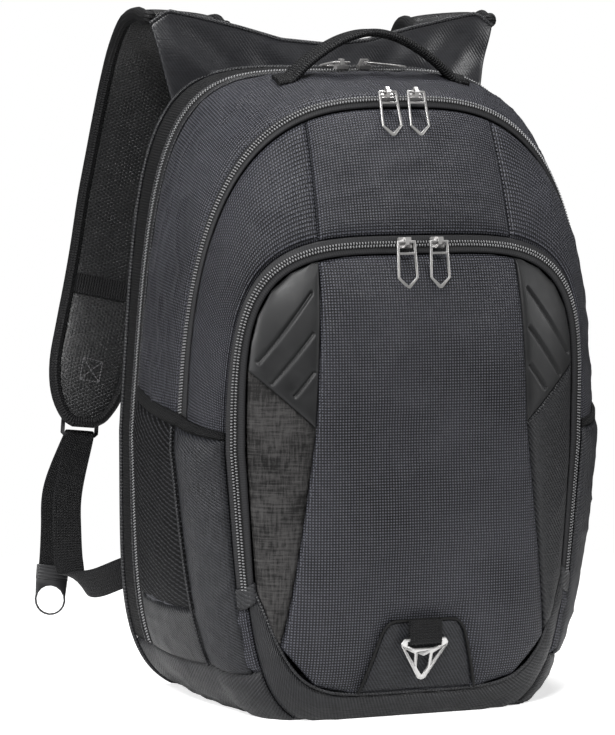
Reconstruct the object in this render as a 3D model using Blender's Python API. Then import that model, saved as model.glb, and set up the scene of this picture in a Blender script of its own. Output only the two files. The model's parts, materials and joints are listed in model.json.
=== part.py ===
"""A laptop backpack: cloth panels, three coil zips with frame pullers, a haul handle, a padded yoke and straps.

Metres, +Z up. The bag is modelled with its back plane at Y = 0, its front towards -Y and +X to the right of
someone who looks at the front. At the end everything moves along Y, so that the origin is the middle of the
whole object's footprint.
"""

import math
from collections import namedtuple

import bpy
import numpy as np
from mathutils import Matrix, Vector
from mathutils.geometry import tessellate_polygon

# Main sizes of the bag
BAG_HEIGHT = 0.478
BAG_WIDTH = 0.338
BAG_DEPTH = 0.207
BELLY_HEIGHT = 0.200
FOOT_DROP = 0.210
FOOT_ROUNDNESS = 5.0
FACE_FULLNESS = 4.0
BASE_HEIGHT = 0.038

# Walls and clearances
CLOTH = 0.002
BACK_PAD = 0.012
SEAM_GAP = 0.0003
ZIP_EASE = 0.0004
LIFT_OFF = 0.0004

# Zips
ZIP_WIDTH = 0.013
COIL_WIDTH = 0.0052
COIL_HEIGHT = 0.0018
FRONT_ZIP_END = 0.093
MAIN_ZIP_END = 0.200

# Front pocket
POCKET_SEAM_HEIGHT = 0.0186
SEAM_SPREAD = 0.105
DIAGONAL_SHARE = 0.613
DIAGONAL_END = 0.262
TRIM_WALL = 0.0016
SLOT_WIDTH = 0.0022

# Side pockets
POCKET_TOP_REAR = 0.236
POCKET_TOP_FRONT = 0.222
BAND_WIDTH = 0.010
MESH_FOOT = 0.080
MESH_SHARE = 0.98
POCKET_WALL = 0.0015
POCKET_BULGE = 0.004

# Loop and ring at the foot of the front pocket
LOOP_WIDTH = 0.025
LOOP_TOP = 0.078
LOOP_FOOT = 0.0595
WEBBING = 0.0016
RING_WIDTH = 0.037
RING_HEIGHT = 0.033
RING_THICKNESS = 0.0024
PATCH_WALL = 0.0012
PATCH_FOOT_WIDTH = 0.092
PATCH_TOP_WIDTH = 0.060
PATCH_MARGIN = 0.0025

# Haul handle
HANDLE_SPAN = 0.150
HANDLE_WIDTH = 0.022
HANDLE_THICKNESS = 0.006
HANDLE_RISE = 0.031
HANDLE_SHARE = 0.42
HANDLE_FOOT = 0.06  # the angle round the top that each flat foot covers

# Yoke and shoulder straps
YOKE_WIDTH = 0.284
YOKE_TOP = 0.520
YOKE_FOOT = 0.440
YOKE_THICKNESS = 0.005
YOKE_LEAN = 0.006
STRAP_WIDTH = 0.064
STRAP_THICKNESS = 0.011
STRAP_REACH = 0.120
KEEPER_WIDTH = 0.016
KEEPER_WALL = 0.0012

# Strap hardware and webbing
WEB_WIDTH = 0.024
LOCK_HEIGHT = 0.026
LOCK_THICKNESS = 0.0030
BAR = 0.0026
TAB_HEIGHT = 0.012
TAB_THICKNESS = 0.0022
THUMB_RING = 0.0125
THUMB_WIRE = 0.0014

# Zip sliders and pullers
SLIDER_LENGTH = 0.0096
SLIDER_WIDTH = 0.008
SLIDER_BODY = 0.0030
BRIDGE_LENGTH = 0.0026
BRIDGE_WALL = 0.0011
PULLER_WIRE = 0.0018
PULLER_WIDTH = 0.0160
PULLER_LENGTH = 0.0350
PULLER_TIP = 0.0085
PULLER_CROSSBAR = 0.0085
BAR_PLAY = 0.0004

HALF_WIDTH = BAG_WIDTH / 2
HALF_GAP = SEAM_GAP / 2

# Rims of the bag from the back to the front. Widths are shares of half the bag's width, tops of its height and
# depths and bulge of its depth. The bulge is that of the band of cloth in front of the rim.
Rim = namedtuple("Rim", "name half_width top side_depth top_depth foot_depth roundness taper foot_taper bulge")
RIMS = (
    Rim("back", 1.000, 1.000, 0.000, 0.000, 0.000, 5.0, 0.105, 0.000, 0.000),
    Rim("rear_zip", 0.990, 0.992, 0.135, 0.272, 0.135, 5.0, 0.105, 0.030, 0.018),
    Rim("main_zip", 0.964, 0.949, 0.628, 0.734, 0.600, 3.0, 0.060, 0.130, 0.024),
    Rim("front_zip", 0.802, 0.730, 0.831, 0.928, 0.820, 4.0, 0.000, 0.120, 0.000),
)
BACK, REAR, MAIN, FRONT = range(4)
FACE_CENTRE = 4

COLOURS = {
    "dobby": (0.045, 0.045, 0.048, 0.75, 0.0),
    "plain": (0.030, 0.030, 0.032, 0.60, 0.0),
    "heather": (0.070, 0.062, 0.055, 0.90, 0.0),
    "trim": (0.028, 0.028, 0.029, 0.50, 0.0),
    "mesh": (0.012, 0.012, 0.012, 0.95, 0.0),
    "webbing": (0.014, 0.014, 0.015, 0.80, 0.0),
    "coil": (0.020, 0.020, 0.021, 0.45, 0.0),
    "plastic": (0.012, 0.012, 0.012, 0.40, 0.0),
    "gunmetal": (0.230, 0.220, 0.210, 0.30, 1.0),
    "silver": (0.700, 0.690, 0.670, 0.25, 1.0),
}


def material(name):
    found = bpy.data.materials.get(name)
    if found:
        return found
    found = bpy.data.materials.new(name)
    found.use_nodes = True
    shader = found.node_tree.nodes["Principled BSDF"]
    red, green, blue, roughness, metallic = COLOURS[name]
    shader.inputs["Base Color"].default_value = (red, green, blue, 1.0)
    shader.inputs["Roughness"].default_value = roughness
    shader.inputs["Metallic"].default_value = metallic
    return found


def new_object(name, mesh, kind, place=None):
    """An object of one material under the bag's empty, placed by a matrix."""
    mesh.materials.clear()
    mesh.materials.append(material(kind))
    made = bpy.data.objects.new(name, mesh)
    bpy.context.scene.collection.objects.link(made)
    made.parent = bpy.data.objects["bag"]
    if place is not None:
        made.matrix_local = place
    return made


def new_mesh(name, points, faces):
    mesh = bpy.data.meshes.new(name)
    mesh.from_pydata([tuple(map(float, p)) for p in points], [], faces)
    mesh.update()
    return mesh


def unit(vectors):
    return vectors / np.maximum(np.linalg.norm(vectors, axis=-1, keepdims=True), 1e-12)


# The bag's surface: an angle runs round each rim, 0 at the right, a quarter turn at the top, and a depth number
# runs from the back rim (0) over the rear, main and front zips (1, 2, 3) to the middle of the pocket face (4)


def rim_reach(rim, angle):
    power = np.where(np.sin(angle) >= 0, rim.roundness, FOOT_ROUNDNESS)
    return (np.abs(np.cos(angle)) ** power + np.abs(np.sin(angle)) ** power) ** (-1 / power)


def rim_depth(rim, angle):
    end = np.where(np.sin(angle) >= 0, rim.top_depth, rim.foot_depth)
    return BAG_DEPTH * (rim.side_depth + (end - rim.side_depth) * np.sin(angle) ** 2)


def rim_point(rim, angle, spread=1.0):
    """A point on a rim, or inside it at a share of the way out from the belly's middle."""
    out = rim_reach(rim, angle) * spread
    rise = np.where(np.sin(angle) >= 0, BAG_HEIGHT * rim.top - BELLY_HEIGHT, FOOT_DROP)
    across = HALF_WIDTH * rim.half_width * out * np.cos(angle)
    across = across * (1 - rim.taper * np.maximum(out * np.sin(angle), 0))
    across = across * (1 - rim.foot_taper * np.maximum(-out * np.sin(angle), 0))
    depth = rim_depth(rim, angle)
    if rim is RIMS[FRONT]:
        depth = BAG_DEPTH - (BAG_DEPTH - depth) * spread**FACE_FULLNESS
    height = BELLY_HEIGHT + rise * out * np.sin(angle)
    return np.stack([across, -depth + 0 * across, height], axis=-1)


def surface(angle, depth):
    """Points on the bag's outside. The underside is pressed flat on the ground."""
    angle, depth = np.broadcast_arrays(np.asarray(angle, float), np.asarray(depth, float))
    points = np.zeros(angle.shape + (3,))
    for band in range(FRONT):
        here = (depth >= band) & (depth <= band + 1) if band == 0 else (depth > band) & (depth <= band + 1)
        share = (depth - band)[..., None]
        near, far = rim_point(RIMS[band], angle), rim_point(RIMS[band + 1], angle)
        chord = unit(far - near)
        out = np.stack([np.cos(angle), 0 * angle, np.sin(angle)], axis=-1)
        out = unit(out - chord * np.sum(out * chord, axis=-1, keepdims=True))
        bulge = 4 * RIMS[band].bulge * BAG_DEPTH * share * (1 - share)
        points = np.where(here[..., None], near + (far - near) * share + out * bulge, points)
    face = rim_point(RIMS[FRONT], angle, np.clip(FACE_CENTRE - depth, 0, 1))
    points = np.where((depth > FRONT)[..., None], face, points)
    points[..., 2] = np.maximum(points[..., 2], 0)
    return points


def surface_normal(angle, depth):
    step = 2e-3
    angle, depth = np.broadcast_arrays(np.asarray(angle, float), np.asarray(depth, float))
    round_rim = surface(angle + step, depth) - surface(angle - step, depth)
    forward = surface(angle, depth + step) - surface(angle, np.maximum(depth - step, 0))
    return unit(np.cross(round_rim, forward))


def beside(angle, rim, offset):
    """The depth number at a distance in metres in front of a rim, or behind it when negative."""
    to = rim + (1 if offset > 0 else -1)
    length = np.linalg.norm(surface(angle, to) - surface(angle, rim), axis=-1)
    return rim + offset / length


def rim_angle(height, rim=RIMS[FRONT]):
    """The angle on the right side of a rim at a height."""
    if height < BELLY_HEIGHT:
        share, power, sign = (BELLY_HEIGHT - height) / FOOT_DROP, FOOT_ROUNDNESS, -1
    else:
        share, power, sign = (height - BELLY_HEIGHT) / (BAG_HEIGHT * rim.top - BELLY_HEIGHT), rim.roundness, 1
    return sign * math.atan(share / (1 - share**power) ** (1 / power))


def angle_across(across, depth):
    """The angle over the top at which the surface is this far to the right, from a search by halves."""
    across, depth = np.broadcast_arrays(np.asarray(across, float), np.asarray(depth, float))
    low, high = np.full(across.shape, math.radians(30)), np.full(across.shape, math.radians(90))
    for _ in range(40):
        middle = (low + high) / 2
        wide = surface(middle, depth)[..., 0] > np.abs(across)
        low, high = np.where(wide, middle, low), np.where(wide, high, middle)
    return np.where(across >= 0, low, math.pi - low)


def face_point(across, height):
    """A point of the pocket face over a place in the XZ plane."""
    rim = RIMS[FRONT]
    across, height = np.broadcast_arrays(np.asarray(across, float), np.asarray(height, float))
    upper = height >= BELLY_HEIGHT
    rise = np.where(upper, BAG_HEIGHT * rim.top - BELLY_HEIGHT, FOOT_DROP)
    power = np.where(upper, rim.roundness, FOOT_ROUNDNESS)
    up = (height - BELLY_HEIGHT) / rise
    side = across / (HALF_WIDTH * rim.half_width * (1 - rim.foot_taper * np.maximum(-up, 0)))
    spread = (np.abs(side) ** power + np.abs(up) ** power) ** (1 / power)
    edge = rim_depth(rim, np.arctan2(up, side))
    depth = BAG_DEPTH - (BAG_DEPTH - edge) * spread**FACE_FULLNESS
    return np.stack([across, -depth, height], axis=-1)


def face_normal(across, height):
    step = 1e-3
    sideways = face_point(across + step, height) - face_point(across - step, height)
    upwards = face_point(across, height + step) - face_point(across, height - step)
    return unit(np.cross(sideways, upwards))


BASE_ANGLE = rim_angle(BASE_HEIGHT)
FRONT_END_ANGLE = rim_angle(FRONT_ZIP_END)
MAIN_END_ANGLE = rim_angle(MAIN_ZIP_END)


# Solids from grids of points


def inset_borders(points):
    """Moves the border rows of a grid in, so that neighbouring panels keep a seam's gap."""
    moved = points.copy()
    for axis in (0, 1):
        rows = np.moveaxis(moved, axis, 0)
        rows[0] += unit(rows[1] - rows[0]) * HALF_GAP
        rows[-1] += unit(rows[-2] - rows[-1]) * HALF_GAP
    return moved


def grid_solid(outer, inner):
    """Points and faces of a closed sheet between two grids of one shape."""
    rows, columns = outer.shape[:2]
    points = np.concatenate([outer.reshape(-1, 3), inner.reshape(-1, 3)])
    number = np.arange(rows * columns).reshape(rows, columns)
    back = rows * columns
    faces = []
    for i in range(rows - 1):
        for j in range(columns - 1):
            a, b, c, d = number[i, j], number[i + 1, j], number[i + 1, j + 1], number[i, j + 1]
            faces.append((a, b, c, d))
            faces.append((d + back, c + back, b + back, a + back))
    border = list(number[:, 0]) + list(number[-1, 1:]) + list(number[::-1, -1][1:]) + list(number[0, ::-1][1:-1])
    for p, q in zip(border, border[1:] + border[:1]):
        faces.append((q, p, p + back, q + back))
    return points, [tuple(int(n) for n in face) for face in faces]


def sheet(name, points, normals, wall, kind, lift=0.0):
    """A cloth panel: its outside on the grid, lifted along the normals, and its wall behind."""
    points = inset_borders(points)
    lift = np.asarray(lift, float)
    lift = lift[..., None] if lift.ndim else lift
    return new_object(name, new_mesh(name, *grid_solid(points + normals * lift, points + normals * (lift - wall))), kind)


def surface_sheet(name, angles, depths, wall, kind, lift=0.0):
    return sheet(name, surface(angles, depths), surface_normal(angles, depths), wall, kind, lift)


def mirrored(source, name):
    """The same piece on the other side of the bag."""
    mesh = source.data.copy()
    mesh.transform(Matrix.Scale(-1, 4, (1, 0, 0)))
    mesh.flip_normals()
    return new_object(name, mesh, source.data.materials[0].name)


def both_sides(name, make):
    """Makes a piece on the right, then its twin on the left."""
    right = make(name + "_R")
    return right, mirrored(right, name + "_L")


def spread_angles(stops, steps):
    """Angles from stop to stop, with a number of equal steps between each pair."""
    found = [stops[0]]
    for start, end, count in zip(stops, stops[1:], steps):
        found += list(np.linspace(start, end, count + 1)[1:])
    return np.array(found)


def both_halves(right):
    """Angles of the right half, up to the top, and their mirror images down the left."""
    right = np.array(right)
    return np.concatenate([right, math.pi - right[::-1][1:]])


def grid(angles, start, end, columns):
    """Angle and depth grids between two border lines given at each angle."""
    shares = np.linspace(0, 1, columns)
    depths = start[:, None] + (end - start)[:, None] * shares
    return np.repeat(angles[:, None], columns, axis=1), depths


STEP = 0.004  # half of the short stretch where a border steps aside at a zip's end, as an angle


def zip_border(angles, rim, side, end_angle):
    """A panel's border along a zip: beside the tape where there is a zip, on the rim line past its end."""
    beside_tape = beside(angles, rim, side * (ZIP_WIDTH / 2 + ZIP_EASE))
    from_end = np.minimum(angles, math.pi - angles) - end_angle
    return np.where(from_end > 0, beside_tape, rim)


# Cloth of the main body


def make_back_panel():
    angles = np.concatenate([both_halves(body_angles()), base_angles()[1:-1]])
    inset = CLOTH + SEAM_GAP + LIFT_OFF
    depths = beside(angles, BACK, BACK_PAD)
    rim = surface(angles, depths) - surface_normal(angles, depths) * inset
    rim[:, 2] = np.maximum(rim[:, 2], inset)
    outline = [(x, z) for x, _, z in rim]
    place = Matrix(((1, 0, 0, 0), (0, 0, -1, 0), (0, 1, 0, 0), (0, 0, 0, 1)))
    new_object("back_panel", plate_mesh("back_panel", outline, [], 0, BACK_PAD), "mesh", place)


def body_angles():
    """Angles of the body's right half, from the base panel to the top, with both zips' ends."""
    return spread_angles((BASE_ANGLE, FRONT_END_ANGLE - STEP, FRONT_END_ANGLE + STEP, MAIN_END_ANGLE - STEP,
                          MAIN_END_ANGLE + STEP, math.radians(25), math.radians(65), math.pi / 2),
                         (2, 1, 2, 1, 2, 7, 3))


def base_angles():
    return np.linspace(math.pi - BASE_ANGLE, 2 * math.pi + BASE_ANGLE, 17)


def make_gussets():
    angles = both_halves(body_angles())
    rear_side = beside(angles, REAR, -ZIP_WIDTH / 2 - ZIP_EASE)
    surface_sheet("rear_gusset", *grid(angles, 0 * angles, rear_side, 2), CLOTH, "webbing")
    front_side = zip_border(angles, MAIN, -1, MAIN_END_ANGLE)
    rear_side = beside(angles, REAR, ZIP_WIDTH / 2 + ZIP_EASE)
    surface_sheet("main_gusset", *grid(angles, rear_side, front_side, 4), CLOTH, "dobby")


def make_zip(name, rim, end_angle):
    """A zip's tape round a rim, with the raised coil along its middle."""
    clear_end = end_angle + (3 * STEP if end_angle > BASE_ANGLE else 0)
    further = body_angles()
    angles = both_halves(np.concatenate([[clear_end], further[further > clear_end + STEP]]))
    coil = COIL_WIDTH / ZIP_WIDTH / 2
    shares = (-0.5, -coil - 0.04, -coil, coil, coil + 0.04, 0.5)
    heights = np.array([0, 0, COIL_HEIGHT, COIL_HEIGHT, 0, 0])
    depths = np.stack([beside(angles, rim, share * ZIP_WIDTH) for share in shares], axis=1)
    angles = np.repeat(angles[:, None], len(shares), axis=1)
    points = inset_borders(surface(angles, depths))
    normals = surface_normal(angles, depths)
    outer, inner = points + normals * heights[:, None], points - normals * CLOTH
    new_object(name, new_mesh(name, *grid_solid(outer, inner)), "coil")


def upper_seam(depth):
    """How far out the seam beside the upper middle panel runs."""
    return HALF_WIDTH * (0.432 + 0.015 * (depth - MAIN))


def upper_line(share, columns):
    """The line down the upper front at a share of the way out to the seam, as angles and depth numbers."""
    ends = [float(beside(angle_across(share * upper_seam(rim), rim), rim, side * (ZIP_WIDTH / 2 + ZIP_EASE)))
            for rim, side in ((MAIN, 1), (FRONT, -1))]
    depths = np.linspace(*ends, columns)
    return angle_across(share * upper_seam(depths), depths), depths


def make_upper_panels():
    lines = [upper_line(share, 5) for share in np.linspace(1, -1, 9)]
    surface_sheet("upper_panel_centre", np.stack([a for a, _ in lines]), np.stack([d for _, d in lines]),
                  CLOTH, "dobby")
    both_sides("upper_panel", make_upper_side)


def make_upper_side(name):
    columns = 5
    right = body_angles()
    lower = right[right < math.radians(26)]
    angles, depths = grid(lower, zip_border(lower, MAIN, 1, MAIN_END_ANGLE),
                          zip_border(lower, FRONT, -1, FRONT_END_ANGLE), columns)
    seam_angles, _ = upper_line(1, columns)
    shares = np.linspace(0, 1, 9)[1:, None]
    upper = lower[-1] + (seam_angles - lower[-1]) * shares
    start = beside(upper[:, 0], MAIN, ZIP_WIDTH / 2 + ZIP_EASE)[:, None]
    end = beside(upper[:, -1], FRONT, -ZIP_WIDTH / 2 - ZIP_EASE)[:, None]
    across = np.linspace(0, 1, columns)
    return surface_sheet(name, np.concatenate([angles, upper]),
                         np.concatenate([depths, start + (end - start) * across]), CLOTH, "dobby")


def make_base():
    depths = spread_angles((BACK, REAR, MAIN, FRONT), (1, 3, 4))
    angles, depths = np.meshgrid(base_angles(), depths, indexing="ij")
    surface_sheet("base_panel", angles, depths, CLOTH, "plain")


# Front pocket


def hem_depth(angle):
    """The depth number of the seam at the pocket's foot, which climbs the corner to the zip's end."""
    middle = FRONT + 1 - (BELLY_HEIGHT - POCKET_SEAM_HEIGHT) / FOOT_DROP
    end = beside(FRONT_END_ANGLE, FRONT, ZIP_WIDTH / 2)
    below = np.abs(angle - 1.5 * math.pi)
    share = below / (math.pi / 2 + FRONT_END_ANGLE)
    return middle + (end - middle) * share**5


def make_hem():
    corner = np.linspace(BASE_ANGLE, FRONT_END_ANGLE, 4)[1:]
    angles = np.concatenate([math.pi - corner[::-1], base_angles(), 2 * math.pi + corner])
    start = np.full(angles.shape, FRONT + 2 * ZIP_EASE / BELLY_HEIGHT)
    angles, depths = grid(angles, start, hem_depth(angles), 4)
    surface_sheet("front_hem", angles, depths, CLOTH, "plain")


def zip_edge(angle):
    """The inner edge of the front zip's tape."""
    return surface(angle, beside(angle, FRONT, ZIP_WIDTH / 2 + ZIP_EASE))


def hem_edge(angles):
    """The seam line at the pocket's foot, on the pocket's side."""
    return surface(angles, hem_depth(angles) + ZIP_EASE / (BELLY_HEIGHT / 2))


HEM_ANGLES = np.linspace(math.pi - FRONT_END_ANGLE, 2 * math.pi + FRONT_END_ANGLE, 81)


def foot_height(across):
    edge = hem_edge(HEM_ANGLES)
    return np.interp(across, edge[:, 0], edge[:, 2])


def arch_height(across):
    edge = zip_edge(np.linspace(math.radians(150), math.radians(30), 81))
    return np.interp(across, edge[:, 0], edge[:, 2])


def face_seam(share):
    """The seam between the pocket's middle panel and its sides, from the foot up: flared, then upright."""
    widths = (SEAM_SPREAD, SEAM_SPREAD * 0.90, SEAM_SPREAD * 0.79, SEAM_SPREAD * 0.733)
    across = np.interp(share, (0, 0.30, DIAGONAL_SHARE, 1), widths)
    foot, arch = foot_height(across), arch_height(across)
    return np.stack([across, foot + (arch - foot) * share], axis=-1)


def face_sheet(name, across, height, wall, kind, lift=0.0):
    return sheet(name, face_point(across, height), face_normal(across, height), wall, kind, lift)


SIDE_SHARES = np.linspace(0, DIAGONAL_SHARE, 8)
TRIM_SHARES = np.linspace(DIAGONAL_SHARE, 1, 6)


def make_pocket_centre():
    shares = np.concatenate([SIDE_SHARES, TRIM_SHARES[1:]])
    columns = np.linspace(-1, 1, 9)
    across = columns[:, None] * face_seam(shares)[None, :, 0]
    foot, arch = foot_height(across), arch_height(across)
    face_sheet("pocket_panel_centre", across, foot + (arch - foot) * shares[None, :], CLOTH, "dobby")


def fan(inner, outer, columns):
    """Rows of points from one border line to the other."""
    shares = np.linspace(0, 1, columns)[:, None, None]
    return inner[None] + (outer - inner)[None] * shares


def make_pocket_side(name):
    inner = face_seam(SIDE_SHARES)
    start = np.interp(SEAM_SPREAD * 1.03, hem_edge(HEM_ANGLES)[:, 0], HEM_ANGLES)
    hem_part = hem_edge(np.linspace(start, 2 * math.pi + FRONT_END_ANGLE, 4))
    zip_part = zip_edge(np.linspace(FRONT_END_ANGLE, rim_angle(DIAGONAL_END), 5))
    outer = np.concatenate([hem_part, zip_part[1:]])[:, [0, 2]]
    across, height = np.moveaxis(fan(inner, outer, 5), -1, 0)
    return face_sheet(name, across, height, CLOTH, "plain")


def make_pocket_trim(name):
    inner = face_seam(TRIM_SHARES)
    end = float(angle_across(inner[-1, 0] * 1.08, FRONT))
    outer = zip_edge(np.linspace(rim_angle(DIAGONAL_END), end, len(inner)))[:, [0, 2]]
    across, height = np.moveaxis(fan(inner, outer, 5), -1, 0)
    return face_sheet(name, across, height, TRIM_WALL, "trim")


# The three slots of each trim, as shares of half the bag's width and of its height
Slot = namedtuple("Slot", "inner_across inner_height outer_across outer_height")
SLOTS = (
    Slot(0.500, 0.660, 0.720, 0.556),
    Slot(0.500, 0.600, 0.670, 0.524),
    Slot(0.500, 0.542, 0.580, 0.506),
)


def slot_cutter(name, slot):
    start = np.array([slot.inner_across * HALF_WIDTH, slot.inner_height * BAG_HEIGHT])
    end = np.array([slot.outer_across * HALF_WIDTH, slot.outer_height * BAG_HEIGHT])
    along = unit(end - start)
    side = np.array([-along[1], along[0]]) * SLOT_WIDTH / 2
    outline = [start - side, end - side, end + side, start + side]
    place = Matrix(((1, 0, 0, 0), (0, 0, -1, 0), (0, 1, 0, 0), (0, 0, 0, 1)))
    cutter = new_object(name, plate_mesh(name, outline, [], 0, 2 * BAG_DEPTH), "trim", place)
    cutter.hide_render = True
    cutter.display_type = "WIRE"
    return cutter


def make_pocket_trims():
    right = make_pocket_trim("pocket_trim_R")
    for number, slot in enumerate(SLOTS):
        cut = right.modifiers.new("slot", "BOOLEAN")
        cut.operation = "DIFFERENCE"
        cut.object = slot_cutter(f"slot_cutter_{number}", slot)
    left = mirrored_result(right, "pocket_trim_L")
    return right, left


def mirrored_result(source, name):
    """The other side's twin of a piece with modifiers."""
    bpy.context.view_layer.update()
    mesh = bpy.data.meshes.new_from_object(source.evaluated_get(bpy.context.evaluated_depsgraph_get()))
    mesh.transform(Matrix.Scale(-1, 4, (1, 0, 0)))
    mesh.flip_normals()
    return new_object(name, mesh, source.data.materials[0].name)


# Side pockets


def pocket_top(depth):
    share = (depth - REAR) / (FRONT - REAR)
    return POCKET_TOP_FRONT + (POCKET_TOP_REAR - POCKET_TOP_FRONT) * (1 - share) ** 2


def pocket_lift(angles, depths):
    """The side pocket lies on the body at its borders and bulges between them."""
    height = surface(angles, depths)[..., 2]
    up = np.clip((height - BASE_HEIGHT) / (POCKET_TOP_REAR - BASE_HEIGHT), 0, 1)
    along = np.clip((depths - REAR) / (FRONT - REAR), 0, 1)
    bulge = POCKET_BULGE * np.sin(math.pi * along) ** 0.8 * np.sin(math.pi * up * 0.62) ** 0.8
    return POCKET_WALL + LIFT_OFF + bulge


def side_pocket_piece(name, kind, low, high, depths, rows):
    lows = np.array([rim_angle(h, RIMS[MAIN]) for h in low(depths)])
    highs = np.array([rim_angle(h, RIMS[MAIN]) for h in high(depths)])
    angles = lows + (highs - lows) * np.linspace(0, 1, rows)[:, None]
    depths = np.repeat(depths[None], rows, axis=0)
    return surface_sheet(name, angles, depths, POCKET_WALL, kind, pocket_lift(angles, depths))


def make_side_pockets():
    rear = float(beside(0.0, REAR, ZIP_WIDTH / 2))
    front = float(beside(0.0, FRONT, -ZIP_WIDTH / 2))
    mesh_part = np.linspace(rear, REAR + MESH_SHARE, 5)
    cloth_part = np.linspace(REAR + MESH_SHARE, front, 5)
    whole = np.concatenate([mesh_part, cloth_part[1:]])

    def floor(depths):
        return np.full(depths.shape, BASE_HEIGHT)

    def mesh_foot(depths):
        return np.full(depths.shape, MESH_FOOT)

    def band_foot(depths):
        return pocket_top(depths) - BAND_WIDTH

    for name, kind, low, high, depths, rows in (
            ("side_pocket_mesh", "mesh", mesh_foot, band_foot, mesh_part, 6),
            ("side_pocket_cloth", "dobby", floor, band_foot, cloth_part, 8),
            ("side_pocket_foot", "plain", floor, mesh_foot, mesh_part, 3),
            ("side_pocket_band", "webbing", band_foot, pocket_top, whole, 2)):
        right = side_pocket_piece(name + "_R", kind, low, high, depths, rows)
        mirrored(right, name + "_L")


# Flat pieces cut from a plate, and swept ribbons


def triangle_area(a, b, c):
    return ((b[0] - a[0]) * (c[1] - a[1]) - (b[1] - a[1]) * (c[0] - a[0])) / 2


def plate_mesh(name, outline, holes, low, high):
    """A plate in the XY plane between two heights, with holes through it."""
    loops = [list(map(tuple, loop)) for loop in [outline] + list(holes)]
    flat = [p for loop in loops for p in loop]
    count = len(flat)
    points = [(x, y, low) for x, y in flat] + [(x, y, high) for x, y in flat]
    faces = []
    triangles = tessellate_polygon([[Vector((x, y, 0)) for x, y in loop] for loop in loops])
    if sum(triangle_area(*(flat[i] for i in triangle)) for triangle in triangles) < 0:
        triangles = [(c, b, a) for a, b, c in triangles]
    for a, b, c in triangles:
        faces += [(a + count, b + count, c + count), (c, b, a)]
    start = 0
    for number, loop in enumerate(loops):
        area = sum(x0 * y1 - x1 * y0 for (x0, y0), (x1, y1) in zip(loop, loop[1:] + loop[:1]))
        turn = 1 if (area > 0) == (number == 0) else -1
        for i in range(len(loop)):
            p, q = start + i, start + (i + 1) % len(loop)
            if turn < 0:
                p, q = q, p
            faces.append((p, q, q + count, p + count))
        start += len(loop)
    return new_mesh(name, points, faces)


def sweep_mesh(name, centres, hints, sections, closed=False):
    """A solid through sections. Each section lists offsets along the width and the face of the ribbon."""
    centres, hints = np.array(centres, float), np.array(hints, float)
    before, after = np.roll(centres, 1, axis=0), np.roll(centres, -1, axis=0)
    if not closed:
        before[0], after[-1] = centres[0], centres[-1]
    along = unit(after - before)
    width = unit(hints - along * np.sum(hints * along, axis=1, keepdims=True))
    face = np.cross(along, width)
    sections = np.array(sections, float)
    points = (centres[:, None] + width[:, None] * sections[:, :, :1] + face[:, None] * sections[:, :, 1:])
    rings, sides = points.shape[:2]
    faces = []
    for i in range(rings if closed else rings - 1):
        j = (i + 1) % rings
        for k in range(sides):
            m = (k + 1) % sides
            faces.append((i * sides + k, i * sides + m, j * sides + m, j * sides + k))
    if not closed:
        faces.append(tuple(range(sides))[::-1])
        faces.append(tuple((rings - 1) * sides + k for k in range(sides)))
    return new_mesh(name, points.reshape(-1, 3), faces)


def band_section(width, thickness):
    return [(-width / 2, -thickness / 2), (width / 2, -thickness / 2), (width / 2, thickness / 2),
            (-width / 2, thickness / 2)]


def smooth_path(points, steps):
    """A curve through a few points, with steps between each pair."""
    points = np.array(points, float)
    ends = np.concatenate([[2 * points[0] - points[1]], points, [2 * points[-1] - points[-2]]])
    found = []
    for p0, p1, p2, p3 in zip(ends, ends[1:], ends[2:], ends[3:]):
        for t in np.linspace(0, 1, steps, endpoint=False):
            found.append(0.5 * (2 * p1 + (p2 - p0) * t + (2 * p0 - 5 * p1 + 4 * p2 - p3) * t**2
                                + (3 * p1 - p0 - 3 * p2 + p3) * t**3))
    return np.array(found + [points[-1]])


# Handle


def make_handle():
    """A stitched webbing arch across the top, with a flat foot at each end."""
    depth = REAR + HANDLE_SHARE
    end = float(angle_across(HANDLE_SPAN / 2, depth))
    feet = np.array([end, end + HANDLE_FOOT / 2, end + HANDLE_FOOT])
    lift = SEAM_GAP + LIFT_OFF + HANDLE_THICKNESS / 2
    foot = surface(feet, depth) + surface_normal(feet, depth) * lift
    slope = unit(surface(feet, depth - 0.1) - surface(feet, depth + 0.1))
    top = surface(math.pi / 2, depth)[2] + HANDLE_RISE + HANDLE_THICKNESS / 2
    arch, hints = [], []
    for share in (0.16, 0.36, 0.60, 0.82):
        rise = math.sin(share * math.pi / 2) ** 0.9
        arch.append([foot[-1, 0] * (1 - share), foot[-1, 1], foot[-1, 2] + (top - foot[-1, 2]) * rise])
        hints.append(slope[-1] * (1 - share) + np.array([0, 1, 0]) * share)
    right = np.concatenate([foot, arch])
    right_hints = np.concatenate([slope, hints])
    flip = np.array([-1, 1, 1])
    path = np.concatenate([right, [[0, foot[-1, 1], top]], right[::-1] * flip])
    hints = np.concatenate([right_hints, [[0, 1, 0]], right_hints[::-1] * flip])
    rows = smooth_path(np.concatenate([path, hints], axis=1), 2)
    section = band_section(HANDLE_WIDTH, HANDLE_THICKNESS)
    new_object("handle", sweep_mesh("handle", rows[:, :3], rows[:, 3:], [section] * len(rows)), "webbing")


# Yoke and straps

# The yoke's upper edge: shares of half its width and of its height above the foot
YokeEdge = namedtuple("YokeEdge", "across top")
YOKE_EDGE = (YokeEdge(0.00, 0.690), YokeEdge(0.25, 0.730), YokeEdge(0.50, 0.850), YokeEdge(0.75, 0.950),
             YokeEdge(0.90, 1.000), YokeEdge(1.00, 0.880))


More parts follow.
